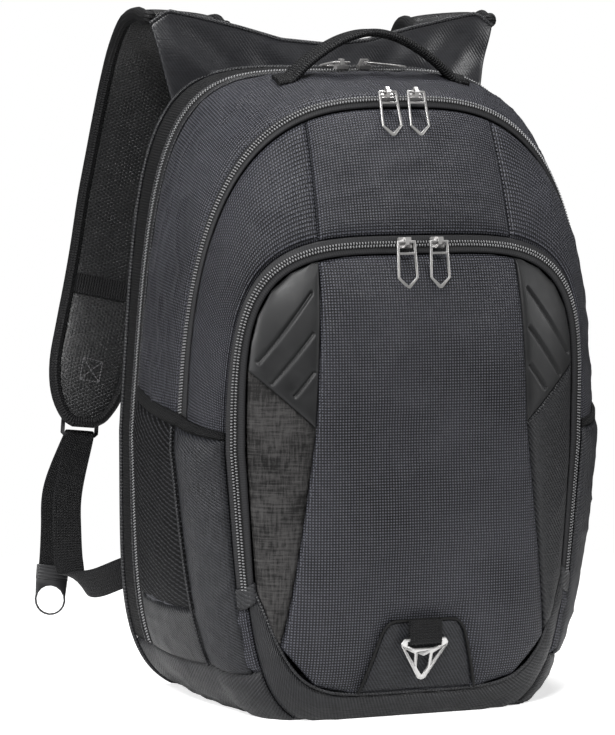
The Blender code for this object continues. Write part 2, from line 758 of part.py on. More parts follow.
def make_yoke():
    columns = np.linspace(-1, 1, 15)
    rows = np.linspace(0, 1, 4)
    tops = np.interp(np.abs(columns), [e.across for e in YOKE_EDGE], [e.top for e in YOKE_EDGE])
    narrow = 1 - 0.13 * (1 - rows)
    across = columns[:, None] * YOKE_WIDTH / 2 * narrow[None]
    height = YOKE_FOOT + (YOKE_TOP - YOKE_FOOT) * tops[:, None] * rows[None]
    depth = SEAM_GAP + LIFT_OFF + YOKE_LEAN * rows[None] ** 2 + 0 * across
    front = np.stack([across, depth, height], axis=-1)
    back = front + np.array([0, YOKE_THICKNESS, 0])
    new_object("yoke", new_mesh("yoke", *grid_solid(front, back)), "plain")


# The strap's middle line from the yoke down: shares of half the bag's width, of the strap's reach behind the
# bag and of the bag's height, with its width as a share and the slope of its upper end
StrapRow = namedtuple("StrapRow", "across reach height width slope")
STRAP = (
    StrapRow(0.654, 0.116, 1.071, 0.98, 0.12),
    StrapRow(0.656, 0.180, 1.072, 0.98, 0.11),
    StrapRow(0.662, 0.300, 1.080, 1.00, 0.08),
    StrapRow(0.680, 0.480, 1.071, 1.02, 0.03),
    StrapRow(0.692, 0.665, 1.030, 1.03, 0.00),
    StrapRow(0.706, 0.785, 0.977, 1.03, 0.00),
    StrapRow(0.729, 0.858, 0.917, 1.02, 0.00),
    StrapRow(0.760, 0.910, 0.850, 1.00, 0.00),
    StrapRow(0.797, 0.952, 0.775, 0.98, 0.00),
    StrapRow(0.834, 0.978, 0.690, 0.96, 0.00),
    StrapRow(0.872, 0.968, 0.620, 0.96, 0.00),
    StrapRow(0.920, 0.925, 0.555, 0.95, 0.00),
    StrapRow(0.968, 0.880, 0.500, 0.90, 0.00),
    StrapRow(0.994, 0.850, 0.455, 0.76, 0.00),
    StrapRow(1.008, 0.832, 0.424, 0.50, 0.00),
    StrapRow(1.012, 0.826, 0.412, 0.26, 0.00),
)


def strap_table():
    rows = np.array([tuple(row) for row in STRAP]) * np.array([HALF_WIDTH, STRAP_REACH, BAG_HEIGHT, STRAP_WIDTH, 1])
    return rows


def pad_section(width, thickness):
    """A padded strap's section: a flat lens with bound edges."""
    half, edge = width / 2, thickness * 0.28
    return [(-half, -edge), (-half * 0.6, -thickness / 2), (half * 0.6, -thickness / 2), (half, -edge),
            (half, edge), (half * 0.6, thickness / 2), (-half * 0.6, thickness / 2), (-half, edge)]


def make_strap(name):
    rows = smooth_path(strap_table(), 2)
    centres, widths, slopes = rows[:, :3], rows[:, 3], rows[:, 4]
    hints = np.stack([np.ones(len(rows)), np.zeros(len(rows)), slopes], axis=1)
    ends = np.minimum(1, 0.55 + 0.15 * np.arange(len(rows))[::-1])
    sections = [pad_section(w, STRAP_THICKNESS * e) for w, e in zip(widths, ends)]
    return new_object(name, sweep_mesh(name, centres, hints, sections), "mesh")


def strap_place(height_share):
    """A strap's middle, tangent and width at a share of the bag's height, below its crest."""
    rows = smooth_path(strap_table(), 8)
    rows = rows[np.argmax(rows[:, 2]):]
    order = np.argsort(rows[:, 2])
    target = height_share * BAG_HEIGHT
    values = [np.interp(target, rows[order, 2], rows[order, k]) for k in range(4)]
    step = 0.004
    ahead = [np.interp(target - step, rows[order, 2], rows[order, k]) for k in range(3)]
    return np.array(values[:3]), unit(np.array(ahead) - np.array(values[:3])), values[3]


def make_keeper(name):
    """An elastic loop round the strap that keeps the loose webbing in."""
    centre, along, width = strap_place(0.630)
    across = unit(np.array([1, 0, 0]) - along * along[0])
    face = np.cross(along, across)
    inner = pad_section(width + 6 * SEAM_GAP + KEEPER_WALL, STRAP_THICKNESS + 6 * SEAM_GAP + KEEPER_WALL)
    path = [centre + across * a + face * b for a, b in inner]
    hints = np.tile(along, (len(path), 1))
    section = band_section(KEEPER_WIDTH, KEEPER_WALL)
    return new_object(name, sweep_mesh(name, path, hints, [section] * len(path), closed=True), "webbing")


# Ladder lock and webbing at the strap's end

LOCK_HEIGHT_SHARE = 0.402
TURN_RADIUS = math.hypot(BAR, LOCK_THICKNESS) / 2 + 2 * SEAM_GAP + WEBBING / 2
LOCK_SETBACK = STRAP_THICKNESS / 2 + SEAM_GAP + WEBBING / 2 + TURN_RADIUS


def lock_frame():
    """The middle of the ladder lock, behind the strap's end, and its directions: across, up and out."""
    centre, along, _ = strap_place(LOCK_HEIGHT_SHARE + 0.012)
    across = unit(np.array([1, 0, 0]) - along * along[0])
    out = unit(np.cross(across, along))
    if out[1] < 0:
        out = -out
    return centre + out * LOCK_SETBACK, across, -along, out


def frame_matrix(origin, x_axis, y_axis, z_axis):
    matrix = Matrix.Identity(4)
    for column, axis in enumerate((x_axis, y_axis, z_axis, origin)):
        for row in range(3):
            matrix[row][column] = float(axis[row])
    return matrix


def rounded_box(width, height, corner):
    half_x, half_y = width / 2, height / 2
    return [(-half_x + corner, -half_y), (half_x - corner, -half_y), (half_x, -half_y + corner),
            (half_x, half_y - corner), (half_x - corner, half_y), (-half_x + corner, half_y),
            (-half_x, half_y - corner), (-half_x, -half_y + corner)]


LOCK_WIDTH = WEB_WIDTH + 2 * (BAR + 2 * SEAM_GAP)
LOCK_SLOT = (LOCK_HEIGHT - 3 * BAR) / 2


def lock_hole(side):
    """A slot of the ladder lock, above or below its middle bar."""
    half = WEB_WIDTH / 2 + 2 * SEAM_GAP
    near, far = side * BAR / 2, side * (BAR / 2 + LOCK_SLOT)
    return [(-half, near), (half, near), (half, far), (-half, far)]


def make_lock(name):
    centre, across, up, out = lock_frame()
    place = frame_matrix(centre, across, up, np.cross(across, up))
    mesh = plate_mesh(name, rounded_box(LOCK_WIDTH, LOCK_HEIGHT, BAR), [lock_hole(1), lock_hole(-1)],
                      -LOCK_THICKNESS / 2, LOCK_THICKNESS / 2)
    mesh.transform(place)
    return new_object(name, mesh, "plastic")


def turn_round_bar(bar_height, steps, over):
    """A half turn of webbing round a bar of the lock, as points in the lock's up and out directions."""
    return [(bar_height + over * TURN_RADIUS * math.sin(a), -TURN_RADIUS * math.cos(a))
            for a in np.linspace(0, math.pi, steps)]


def on_strap(height_share, layer):
    """A point over the strap's outer face, for a number of layers of webbing."""
    centre, along, _ = strap_place(height_share)
    across = unit(np.array([1, 0, 0]) - along * along[0])
    out = unit(np.cross(across, along))
    out = out if out[1] > 0 else -out
    return centre + out * (STRAP_THICKNESS / 2 + SEAM_GAP + LIFT_OFF + WEBBING / 2
                           + layer * (WEBBING + SEAM_GAP))


def make_buckle_loop(name):
    """Webbing sewn on the strap's outer face, round the lock's upper bar."""
    centre, across, up, out = lock_frame()
    turn = [centre + up * u + out * o for u, o in turn_round_bar(LOCK_HEIGHT / 2 - BAR / 2, 7, -1)]
    near = [on_strap(share, 0) for share in (0.520, 0.495, 0.470)]
    far = [on_strap(share, 1) for share in (0.470, 0.495, 0.520)]
    path = np.array(near + turn + far)
    section = band_section(WEB_WIDTH - 0.001, WEBBING)
    mesh = sweep_mesh(name, path, np.tile(across, (len(path), 1)), [section] * len(path))
    return new_object(name, mesh, "webbing")


# The adjuster webbing from the bag to the lock and down its free tail: shares of half the bag's width, of the
# strap's reach and of the bag's height, and the direction of the webbing's width
WebRow = namedtuple("WebRow", "across reach height width_x width_y width_z")
WEB_LOWER = (
    WebRow(0.860, 0.0120, 0.1920, 0.00, 0.0, 1.0),
    WebRow(0.900, 0.0120, 0.1920, 0.00, 0.0, 1.0),
    WebRow(0.955, 0.0160, 0.1905, 0.05, 0.0, 1.0),
    WebRow(1.030, 0.1000, 0.1760, 0.15, 0.0, 1.0),
    WebRow(1.085, 0.2700, 0.1600, 0.30, 0.2, 0.9),
    WebRow(1.130, 0.4500, 0.1600, 0.60, 0.5, 0.6),
    WebRow(1.140, 0.5700, 0.1860, 0.90, 0.4, 0.1),
    WebRow(1.130, 0.6500, 0.2400, 1.00, 0.1, 0.0),
    WebRow(1.112, 0.7200, 0.3000, 1.00, 0.0, 0.0),
)
WEB_TAIL = (
    WebRow(1.120, 0.9600, 0.3000, 1.00, 0.0, 0.0),
    WebRow(1.132, 0.9400, 0.2440, 1.00, 0.0, 0.0),
    WebRow(1.146, 0.9000, 0.1920, 1.00, 0.0, -0.1),
    WebRow(1.160, 0.8700, 0.1610, 1.00, 0.0, -0.15),
)


def web_rows(table):
    rows = np.array([tuple(row) for row in table])
    return rows * np.array([HALF_WIDTH, STRAP_REACH, BAG_HEIGHT, 1, 1, 1])


def make_adjuster(name):
    """One strip of webbing: from the back panel up round the lock's lower bar and down to the free end."""
    centre, across, up, out = lock_frame()
    bar = -LOCK_HEIGHT / 2 + BAR / 2
    turn = np.array([centre + up * u + out * o for u, o in turn_round_bar(bar, 7, 1)])
    turn_rows = np.concatenate([turn, np.tile(across, (len(turn), 1))], axis=1)
    lower, tail = web_rows(WEB_LOWER), web_rows(WEB_TAIL)
    rows = np.concatenate([smooth_path(np.concatenate([lower, turn_rows[:1]]), 2)[:-1], turn_rows,
                           smooth_path(np.concatenate([turn_rows[-1:], tail]), 2)[1:]])
    section = band_section(WEB_WIDTH - 0.001, WEBBING)
    return new_object(name, sweep_mesh(name, rows[:, :3], rows[:, 3:], [section] * len(rows)), "webbing")


def make_pull_tab(name):
    """The moulded end of the webbing: a flat tab with a thumb ring below it."""
    rows = web_rows(WEB_TAIL)
    along = unit(rows[-1, :3] - rows[-2, :3])
    across = unit(rows[-1, 3:] - along * np.dot(rows[-1, 3:], along))
    out = np.cross(across, -along)
    top = rows[-1, :3] + along * (SEAM_GAP + LIFT_OFF)
    place = frame_matrix(top, across, -along, out)
    half = WEB_WIDTH / 2 + 0.0006
    middle = -TAB_HEIGHT - THUMB_RING + 0.0025
    arc = [(THUMB_RING * math.cos(a), middle + THUMB_RING * math.sin(a))
           for a in np.linspace(math.radians(165), math.radians(375), 13)]
    outline = [(half, 0), (-half, 0), (-half, -TAB_HEIGHT * 0.75)] + arc + [(half, -TAB_HEIGHT * 0.75)]
    inner = THUMB_RING - THUMB_WIRE
    hole = [(inner * math.cos(a), middle + inner * math.sin(a))
            for a in np.linspace(0, 2 * math.pi, 16, endpoint=False)]
    mesh = plate_mesh(name, outline, [hole], -TAB_THICKNESS / 2, TAB_THICKNESS / 2)
    mesh.transform(place)
    return new_object(name, mesh, "plastic")


# Patch, loop and ring at the foot of the front pocket


def make_loop_patch():
    columns, rows = np.linspace(-1, 1, 5), np.linspace(0, 1, 4)
    low, high = POCKET_SEAM_HEIGHT + PATCH_MARGIN, LOOP_TOP - PATCH_MARGIN
    half = (PATCH_FOOT_WIDTH + (PATCH_TOP_WIDTH - PATCH_FOOT_WIDTH) * rows) / 2
    across = columns[:, None] * half[None]
    height = np.maximum(low + (high - low) * rows[None], foot_height(across) + PATCH_MARGIN / 2)
    face_sheet("loop_patch", across, height, PATCH_WALL, "dobby", PATCH_WALL + LIFT_OFF)


RING_AXIS_HEIGHT = LOOP_FOOT + 0.0025
RING_BAR = 0.0022


def ring_frame():
    """The ring's top bar, in front of the patch, and its directions."""
    base = face_point(0.0, RING_AXIS_HEIGHT)
    out = face_normal(0.0, RING_AXIS_HEIGHT)
    lift = LIFT_OFF + PATCH_WALL + 2 * SEAM_GAP + WEBBING + RING_BAR * 0.5 ** 0.5 + BAR_PLAY
    up = unit(np.cross(out, np.array([1.0, 0, 0])))
    return base + out * lift, np.array([1.0, 0, 0]), up, out, lift


def make_ring_loop():
    """Webbing folded round the ring's bar, both layers sewn to the patch above it."""
    bar, _, up, out, lift = ring_frame()
    reach = RING_BAR * 0.5 ** 0.5 + BAR_PLAY + WEBBING / 2
    top = LOOP_TOP - RING_AXIS_HEIGHT
    back = -reach
    path = [(top, back), (top * 0.5, back), (0.001, back)]
    path += [(-reach * math.sin(a), -reach * math.cos(a)) for a in np.linspace(math.pi / 6, math.pi * 5 / 6, 5)]
    path += [(0.001, reach), (top * 0.45, back + WEBBING + 2 * SEAM_GAP + 0.0006), (top, back + WEBBING + SEAM_GAP * 2)]
    points = np.array([bar + up * u + out * o for u, o in path])
    hints = np.tile([1.0, 0, 0], (len(points), 1))
    section = band_section(LOOP_WIDTH, WEBBING)
    new_object("ring_loop", sweep_mesh("ring_loop", points, hints, [section] * len(points)), "webbing")


def make_ring():
    """A cast triangle that points down, with a winged plate and two struts inside it."""
    bar, across, up, out, lift = ring_frame()
    half, drop, edge = RING_WIDTH / 2, RING_HEIGHT, RING_BAR
    outline = [(-half + edge, edge / 2), (half - edge, edge / 2), (half, -edge), (half - 0.0006, -edge * 2.2),
               (0.003, -drop + edge), (0.0, -drop + edge / 2), (-0.003, -drop + edge), (-half + 0.0006, -edge * 2.2),
               (-half, -edge)]
    window = LOOP_WIDTH / 2 + 2 * BAR_PLAY
    upper = [(-window, -edge / 2), (window, -edge / 2), (window, -edge * 2.0), (0.0075, -edge * 3.0),
             (-0.0075, -edge * 3.0), (-window, -edge * 2.0)]
    lower = [(-0.0048, -edge * 4.8), (0.0, -edge * 5.9), (0.0048, -edge * 4.8), (0.0044, -0.0215),
             (0.0, -drop + edge * 2.1), (-0.0044, -0.0215)]
    left = [(-half + edge * 1.6, -edge * 2.9), (-0.0072, -edge * 4.9), (-0.0068, -0.0185)]
    right = [(-x, z) for x, z in left]
    mesh = plate_mesh("triangle_ring", outline, [upper, lower, left, right], -RING_THICKNESS / 2, RING_THICKNESS / 2)
    drop_room = lift - PATCH_WALL - 3 * LIFT_OFF - RING_THICKNESS / 2
    lean = math.asin(drop_room / RING_HEIGHT)
    new_object("triangle_ring", mesh, "silver",
               frame_matrix(bar, across, up * math.cos(lean) + out * math.sin(lean),
                            out * math.cos(lean) - up * math.sin(lean)))


# Zip sliders and pullers

TUNNEL = PULLER_WIRE * 2**0.5 + 2 * BAR_PLAY
PIVOT_HEIGHT = SLIDER_BODY + 0.0002 + TUNNEL / 2


CUTTER_LENGTH = 4 * SLIDER_WIDTH


def slider_mesh(name, along_axis):
    """A slider with its bridge, in a frame whose X is the puller's hinge axis and whose Z leaves the cloth."""
    length, width = (SLIDER_LENGTH, SLIDER_WIDTH) if along_axis else (SLIDER_WIDTH, SLIDER_LENGTH)
    top = PIVOT_HEIGHT + TUNNEL / 2 + BRIDGE_WALL
    profile = [(-length / 2, 0), (length / 2, 0), (length / 2, SLIDER_BODY), (BRIDGE_LENGTH / 2, SLIDER_BODY),
               (BRIDGE_LENGTH / 2, top), (-BRIDGE_LENGTH / 2, top), (-BRIDGE_LENGTH / 2, SLIDER_BODY),
               (-length / 2, SLIDER_BODY)]
    upright = Matrix(((1, 0, 0, 0), (0, 0, -1, 0), (0, 1, 0, 0), (0, 0, 0, 1)))
    wide = TUNNEL / 2 + BRIDGE_WALL
    body = plate_mesh(name + "_body", profile, [], -width / 2, width / 2)
    body.transform(upright)
    for vertex in body.vertices:
        if vertex.co.z > SLIDER_BODY + 1e-6:
            vertex.co.y = math.copysign(wide, vertex.co.y)
    hole = plate_mesh(name + "_hole", rounded_box(TUNNEL, TUNNEL, TUNNEL * 0.2), [], -CUTTER_LENGTH / 2, CUTTER_LENGTH / 2)
    hole.transform(Matrix(((0, 0, 1, 0), (1, 0, 0, 0), (0, 1, 0, PIVOT_HEIGHT), (0, 0, 0, 1))))
    return cut_mesh(name, body, hole)


def cut_mesh(name, body, hole):
    """One mesh less another, for pieces that share the result."""
    target, cutter = new_object(name + "_target", body, "gunmetal"), new_object(name + "_cutter", hole, "gunmetal")
    modifier = target.modifiers.new("cut", "BOOLEAN")
    modifier.operation, modifier.object = "DIFFERENCE", cutter
    bpy.context.view_layer.update()
    made = bpy.data.meshes.new_from_object(target.evaluated_get(bpy.context.evaluated_depsgraph_get()))
    made.name = name
    bpy.data.objects.remove(target)
    bpy.data.objects.remove(cutter)
    return made


def puller_mesh():
    """A five-sided wire frame in the XY plane that hangs from its top bar along -Y."""
    half, wire = PULLER_WIDTH / 2, PULLER_WIRE
    top, shoulder, tip = wire / 2, -(PULLER_LENGTH - PULLER_TIP), -PULLER_LENGTH + wire / 2
    neck = half - 0.0008
    outline = [(-neck, top), (neck, top), (half, shoulder), (0.0012, tip), (-0.0012, tip), (-half, shoulder)]
    bar = -PULLER_CROSSBAR
    upper = [(-neck + wire, top - wire), (neck - wire, top - wire), (neck - wire + 0.0002, bar + wire / 2),
             (-neck + wire - 0.0002, bar + wire / 2)]
    lower = [(-neck + wire - 0.0002, bar - wire / 2), (neck - wire + 0.0002, bar - wire / 2),
             (half - wire, shoulder + 0.0006), (0, tip + wire * 1.4), (-half + wire, shoulder + 0.0006)]
    return plate_mesh("puller", outline, [upper, lower], -wire / 2, wire / 2)


# Where the sliders stand: the zip, the distance from the middle, and which way the puller lies: down the front,
# back over the rear panel, or along the zip
Slider = namedtuple("Slider", "name rim across lies")
SLIDERS = (
    Slider("front_slider_L", FRONT, -0.0125, "down"),
    Slider("front_slider_R", FRONT, 0.0125, "down"),
    Slider("main_slider_L", MAIN, -0.0110, "down"),
    Slider("main_slider_R", MAIN, 0.0110, "down"),
    Slider("rear_slider_L", REAR, -0.0100, "back"),
    Slider("rear_slider_R", REAR, 0.0085, "along"),
)


def slider_frame(slider):
    """The slider's place on the coil and its hinge axis, the way its puller lies and the way out."""
    angle = float(angle_across(slider.across, slider.rim))
    out = surface_normal(angle, float(slider.rim))
    sideways = unit(np.array([1.0, 0, 0]) - out * out[0])
    if slider.lies == "down":
        axis = sideways
    elif slider.lies == "back":
        axis = -sideways
    else:
        axis = np.cross(out, sideways)
    lies = np.cross(axis, out)
    seat = surface(angle, float(slider.rim)) + out * (COIL_HEIGHT + SEAM_GAP)
    return seat, axis, lies, out


def puller_rest(slider, seat, axis, lies, out):
    """The way the hanging puller points: its tip just clear of the cloth, or of the coil."""
    pivot = seat + out * PIVOT_HEIGHT
    steps = np.radians(np.arange(0, 40, 0.5))
    low, high = 0, len(steps)
    while high - low > 1:
        middle = (low + high) // 2
        way = lies * math.cos(steps[middle]) - out * math.sin(steps[middle])
        clear = min(cloth_clearance(pivot + way * PULLER_LENGTH * share + axis * side, slider)
                    for share in (0.3, 0.5, 0.76, 1.0) for side in (-PULLER_WIDTH / 2, 0, PULLER_WIDTH / 2))
        if clear < PULLER_WIRE / 2 + 2 * LIFT_OFF:
            high = middle
        else:
            low = middle
    return lies * math.cos(steps[low]) - out * math.sin(steps[low])


def cloth_clearance(point, slider):
    """How far a point lies outside the body's cloth and coil."""
    angles = angle_across(np.array([point[0]] * 61), np.full(61, float(slider.rim)))
    low, high = {"down": (slider.rim, slider.rim + 0.9), "back": (slider.rim - 1, slider.rim),
                 "along": (slider.rim, slider.rim + 0.3)}[slider.lies]
    depths = np.linspace(low, high, 61)
    points, normals = surface(angles, depths), surface_normal(angles, depths)
    nearest = np.argmin(np.linalg.norm(points - point, axis=1))
    height = float(np.dot(point - points[nearest], normals[nearest]))
    return height - (COIL_HEIGHT if np.linalg.norm(points[nearest] - surface(angles[0], float(slider.rim))) < 0.004 else 0)


def make_sliders():
    lengthwise, crosswise = slider_mesh("slider", True), slider_mesh("slider_across", False)
    frame = puller_mesh()
    for slider in SLIDERS:
        seat, axis, lies, out = slider_frame(slider)
        mesh = crosswise if slider.lies == "along" else lengthwise
        new_object(slider.name, mesh, "gunmetal", frame_matrix(seat, axis, -lies, out))
        way = puller_rest(slider, seat, axis, lies, out)
        pivot = seat + out * PIVOT_HEIGHT
        place = frame_matrix(pivot, axis, -way, np.cross(axis, -way))
        new_object(slider.name.replace("slider", "puller"), frame, "gunmetal", place)


def stand_on_origin():
    """Moves the whole bag along Y, so that the origin is the middle of its footprint."""
    bpy.context.view_layer.update()
    bag = bpy.data.objects["bag"]
    corners = np.array([made.matrix_world @ Vector(corner) for made in bpy.data.objects
                        if made.type == "MESH" and not made.hide_render for corner in made.bound_box])
    bag.location.y = -(corners[:, 1].min() + corners[:, 1].max()) / 2
    bpy.context.view_layer.update()


def build():
    for old in list(bpy.data.objects):
        bpy.data.objects.remove(old, do_unlink=True)
    bag = bpy.data.objects.new("bag", None)
    bpy.context.scene.collection.objects.link(bag)
    make_back_panel()
    make_gussets()
    make_base()
    make_zip("rear_zip", REAR, BASE_ANGLE)
    make_zip("main_zip", MAIN, MAIN_END_ANGLE)
    make_zip("front_zip", FRONT, FRONT_END_ANGLE)
    make_upper_panels()
    make_hem()
    make_pocket_centre()
    _, left = both_sides("pocket_side", make_pocket_side)
    left.data.materials[0] = material("heather")
    make_pocket_trims()
    make_side_pockets()
    make_loop_patch()
    make_ring_loop()
    make_ring()
    make_handle()
    make_yoke()
    both_sides("strap", make_strap)
    both_sides("strap_keeper", make_keeper)
    both_sides("buckle_loop", make_buckle_loop)
    both_sides("ladder_lock", make_lock)
    both_sides("adjuster", make_adjuster)
    both_sides("pull_tab", make_pull_tab)
    make_sliders()
    stand_on_origin()


build()
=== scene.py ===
"""The looks of the laptop backpack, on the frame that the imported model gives.

The cloth follows the same surfaces as the solids, from the same named sizes, with finer grids,
folds and seams.
"""

import json
import math
from collections import namedtuple

import bpy
import numpy as np
from mathutils import Matrix, Vector, noise
from mathutils.geometry import tessellate_polygon

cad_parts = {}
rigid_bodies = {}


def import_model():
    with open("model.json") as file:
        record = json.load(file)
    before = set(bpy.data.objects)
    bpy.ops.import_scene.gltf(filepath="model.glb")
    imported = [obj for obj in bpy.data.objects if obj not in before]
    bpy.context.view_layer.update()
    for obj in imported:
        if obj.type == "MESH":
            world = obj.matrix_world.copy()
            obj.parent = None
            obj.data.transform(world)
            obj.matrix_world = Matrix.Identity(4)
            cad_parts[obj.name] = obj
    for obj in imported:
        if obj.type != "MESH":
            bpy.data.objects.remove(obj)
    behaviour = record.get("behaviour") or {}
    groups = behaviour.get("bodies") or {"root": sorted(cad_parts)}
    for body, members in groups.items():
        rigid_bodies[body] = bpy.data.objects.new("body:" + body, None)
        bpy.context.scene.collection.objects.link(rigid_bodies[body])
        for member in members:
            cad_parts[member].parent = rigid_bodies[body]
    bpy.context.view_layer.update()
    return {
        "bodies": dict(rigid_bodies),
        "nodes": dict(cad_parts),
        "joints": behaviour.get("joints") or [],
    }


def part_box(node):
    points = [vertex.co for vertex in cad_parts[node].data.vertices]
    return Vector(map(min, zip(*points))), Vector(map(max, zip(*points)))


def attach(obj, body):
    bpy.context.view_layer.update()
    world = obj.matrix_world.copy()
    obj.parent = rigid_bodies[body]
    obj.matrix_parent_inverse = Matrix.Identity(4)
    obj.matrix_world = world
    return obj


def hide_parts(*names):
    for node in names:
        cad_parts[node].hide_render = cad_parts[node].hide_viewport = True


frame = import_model()
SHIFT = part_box("back_panel")[1][1]  # the back plane of the bag in the frame's Y

# Main sizes of the bag
BAG_HEIGHT = 0.478
BAG_WIDTH = 0.338
BAG_DEPTH = 0.207
BELLY_HEIGHT = 0.200
FOOT_DROP = 0.210
FOOT_ROUNDNESS = 5.0
FACE_FULLNESS = 4.0
BASE_HEIGHT = 0.038

# Walls and clearances
CLOTH = 0.002
BACK_PAD = 0.012
SEAM_GAP = 0.0003
ZIP_EASE = 0.0004
LIFT_OFF = 0.0004

# Zips
ZIP_WIDTH = 0.013
FRONT_ZIP_END = 0.093
MAIN_ZIP_END = 0.200

# Front pocket
POCKET_SEAM_HEIGHT = 0.0186
SEAM_SPREAD = 0.105
DIAGONAL_SHARE = 0.613
DIAGONAL_END = 0.262
TRIM_WALL = 0.0016
SLOT_WIDTH = 0.0022

# Side pockets
POCKET_TOP_REAR = 0.236
POCKET_TOP_FRONT = 0.222
BAND_WIDTH = 0.010
MESH_FOOT = 0.080
MESH_SHARE = 0.98
POCKET_WALL = 0.0015
POCKET_BULGE = 0.004

# Loop and ring at the foot of the front pocket
LOOP_WIDTH = 0.025
LOOP_TOP = 0.078
LOOP_FOOT = 0.0595
WEBBING = 0.0016
RING_WIDTH = 0.037
RING_HEIGHT = 0.033
RING_THICKNESS = 0.0024
PATCH_WALL = 0.0012
PATCH_FOOT_WIDTH = 0.092
PATCH_TOP_WIDTH = 0.060
PATCH_MARGIN = 0.0025

# Haul handle
HANDLE_SPAN = 0.150
HANDLE_WIDTH = 0.022
HANDLE_THICKNESS = 0.006
HANDLE_RISE = 0.031
HANDLE_SHARE = 0.42
HANDLE_FOOT = 0.06  # the angle round the top that each flat foot covers

# Yoke and shoulder straps
YOKE_WIDTH = 0.284
YOKE_TOP = 0.520
YOKE_FOOT = 0.440
YOKE_THICKNESS = 0.005
YOKE_LEAN = 0.006
STRAP_WIDTH = 0.064
STRAP_THICKNESS = 0.011
STRAP_REACH = 0.120
KEEPER_WIDTH = 0.016
KEEPER_WALL = 0.0012

# Strap hardware and webbing
WEB_WIDTH = 0.024
LOCK_HEIGHT = 0.026
LOCK_THICKNESS = 0.0030
BAR = 0.0026
TAB_HEIGHT = 0.012
TAB_THICKNESS = 0.0022
THUMB_RING = 0.0125
THUMB_WIRE = 0.0014

# Zip pullers
PULLER_WIRE = 0.0018
PULLER_WIDTH = 0.0160
PULLER_LENGTH = 0.0350
PULLER_TIP = 0.0085
PULLER_CROSSBAR = 0.0085
BAR_PLAY = 0.0004

HALF_WIDTH = BAG_WIDTH / 2
HALF_GAP = SEAM_GAP / 2

# Rims of the bag from the back to the front. Widths are shares of half the bag's width, tops of its
# height, and depths and bulge of its depth. The bulge is that of the band of cloth in front of the rim.
RIM_COLUMNS = "name half_width top side_depth top_depth foot_depth roundness taper foot_taper bulge"
Rim = namedtuple("Rim", RIM_COLUMNS)
RIMS = (
    Rim("back", 1.000, 1.000, 0.000, 0.000, 0.000, 5.0, 0.105, 0.000, 0.000),
    Rim("rear_zip", 0.990, 0.992, 0.135, 0.272, 0.135, 5.0, 0.105, 0.030, 0.018),
    Rim("main_zip", 0.964, 0.949, 0.628, 0.734, 0.600, 3.0, 0.060, 0.130, 0.024),
    Rim("front_zip", 0.802, 0.730, 0.831, 0.928, 0.820, 4.0, 0.000, 0.120, 0.000),
)
BACK, REAR, MAIN, FRONT = range(4)
FACE_CENTRE = 4


def unit(vectors):
    return vectors / np.maximum(np.linalg.norm(vectors, axis=-1, keepdims=True), 1e-12)


def rim_reach(rim, angle):
    power = np.where(np.sin(angle) >= 0, rim.roundness, FOOT_ROUNDNESS)
    return (np.abs(np.cos(angle)) ** power + np.abs(np.sin(angle)) ** power) ** (-1 / power)


def rim_depth(rim, angle):
    end = np.where(np.sin(angle) >= 0, rim.top_depth, rim.foot_depth)
    return BAG_DEPTH * (rim.side_depth + (end - rim.side_depth) * np.sin(angle) ** 2)


def rim_point(rim, angle, spread=1.0):
    """A point on a rim, or inside it at a share of the way out from the belly's middle."""
    out = rim_reach(rim, angle) * spread
    rise = np.where(np.sin(angle) >= 0, BAG_HEIGHT * rim.top - BELLY_HEIGHT, FOOT_DROP)
    across = HALF_WIDTH * rim.half_width * out * np.cos(angle)
    across = across * (1 - rim.taper * np.maximum(out * np.sin(angle), 0))
    across = across * (1 - rim.foot_taper * np.maximum(-out * np.sin(angle), 0))
    depth = rim_depth(rim, angle)
    if rim is RIMS[FRONT]:
        depth = BAG_DEPTH - (BAG_DEPTH - depth) * spread**FACE_FULLNESS
    height = BELLY_HEIGHT + rise * out * np.sin(angle)
    return np.stack([across, -depth + 0 * across, height], axis=-1)


def surface(angle, depth):
    """Points on the bag's outside. The underside is pressed flat on the ground."""
    angle, depth = np.broadcast_arrays(np.asarray(angle, float), np.asarray(depth, float))
    points = np.zeros(angle.shape + (3,))
    for band in range(FRONT):
        here = (depth >= band) & (depth <= band + 1) if band == 0 else (depth > band) & (depth <= band + 1)
        share = (depth - band)[..., None]
        near, far = rim_point(RIMS[band], angle), rim_point(RIMS[band + 1], angle)
        chord = unit(far - near)
        out = np.stack([np.cos(angle), 0 * angle, np.sin(angle)], axis=-1)
        out = unit(out - chord * np.sum(out * chord, axis=-1, keepdims=True))
        bulge = 4 * RIMS[band].bulge * BAG_DEPTH * share * (1 - share)
        points = np.where(here[..., None], near + (far - near) * share + out * bulge, points)
    face = rim_point(RIMS[FRONT], angle, np.clip(FACE_CENTRE - depth, 0, 1))
    points = np.where((depth > FRONT)[..., None], face, points)
    points[..., 2] = np.maximum(points[..., 2], 0)
    return points


def surface_normal(angle, depth):
    step = 2e-3
    angle, depth = np.broadcast_arrays(np.asarray(angle, float), np.asarray(depth, float))
    round_rim = surface(angle + step, depth) - surface(angle - step, depth)
    forward = surface(angle, depth + step) - surface(angle, np.maximum(depth - step, 0))
    return unit(np.cross(round_rim, forward))


def beside(angle, rim, offset):
    """The depth number at a distance in metres in front of a rim, or behind it when negative."""
    to = rim + (1 if offset > 0 else -1)
    length = np.linalg.norm(surface(angle, to) - surface(angle, rim), axis=-1)
    return rim + offset / length


def rim_angle(height, rim=RIMS[FRONT]):
    """The angle on the right side of a rim at a height."""
    if height < BELLY_HEIGHT:
        share, power, sign = (BELLY_HEIGHT - height) / FOOT_DROP, FOOT_ROUNDNESS, -1
    else:
        share, power, sign = (height - BELLY_HEIGHT) / (BAG_HEIGHT * rim.top - BELLY_HEIGHT), rim.roundness, 1
    return sign * math.atan(share / (1 - share**power) ** (1 / power))


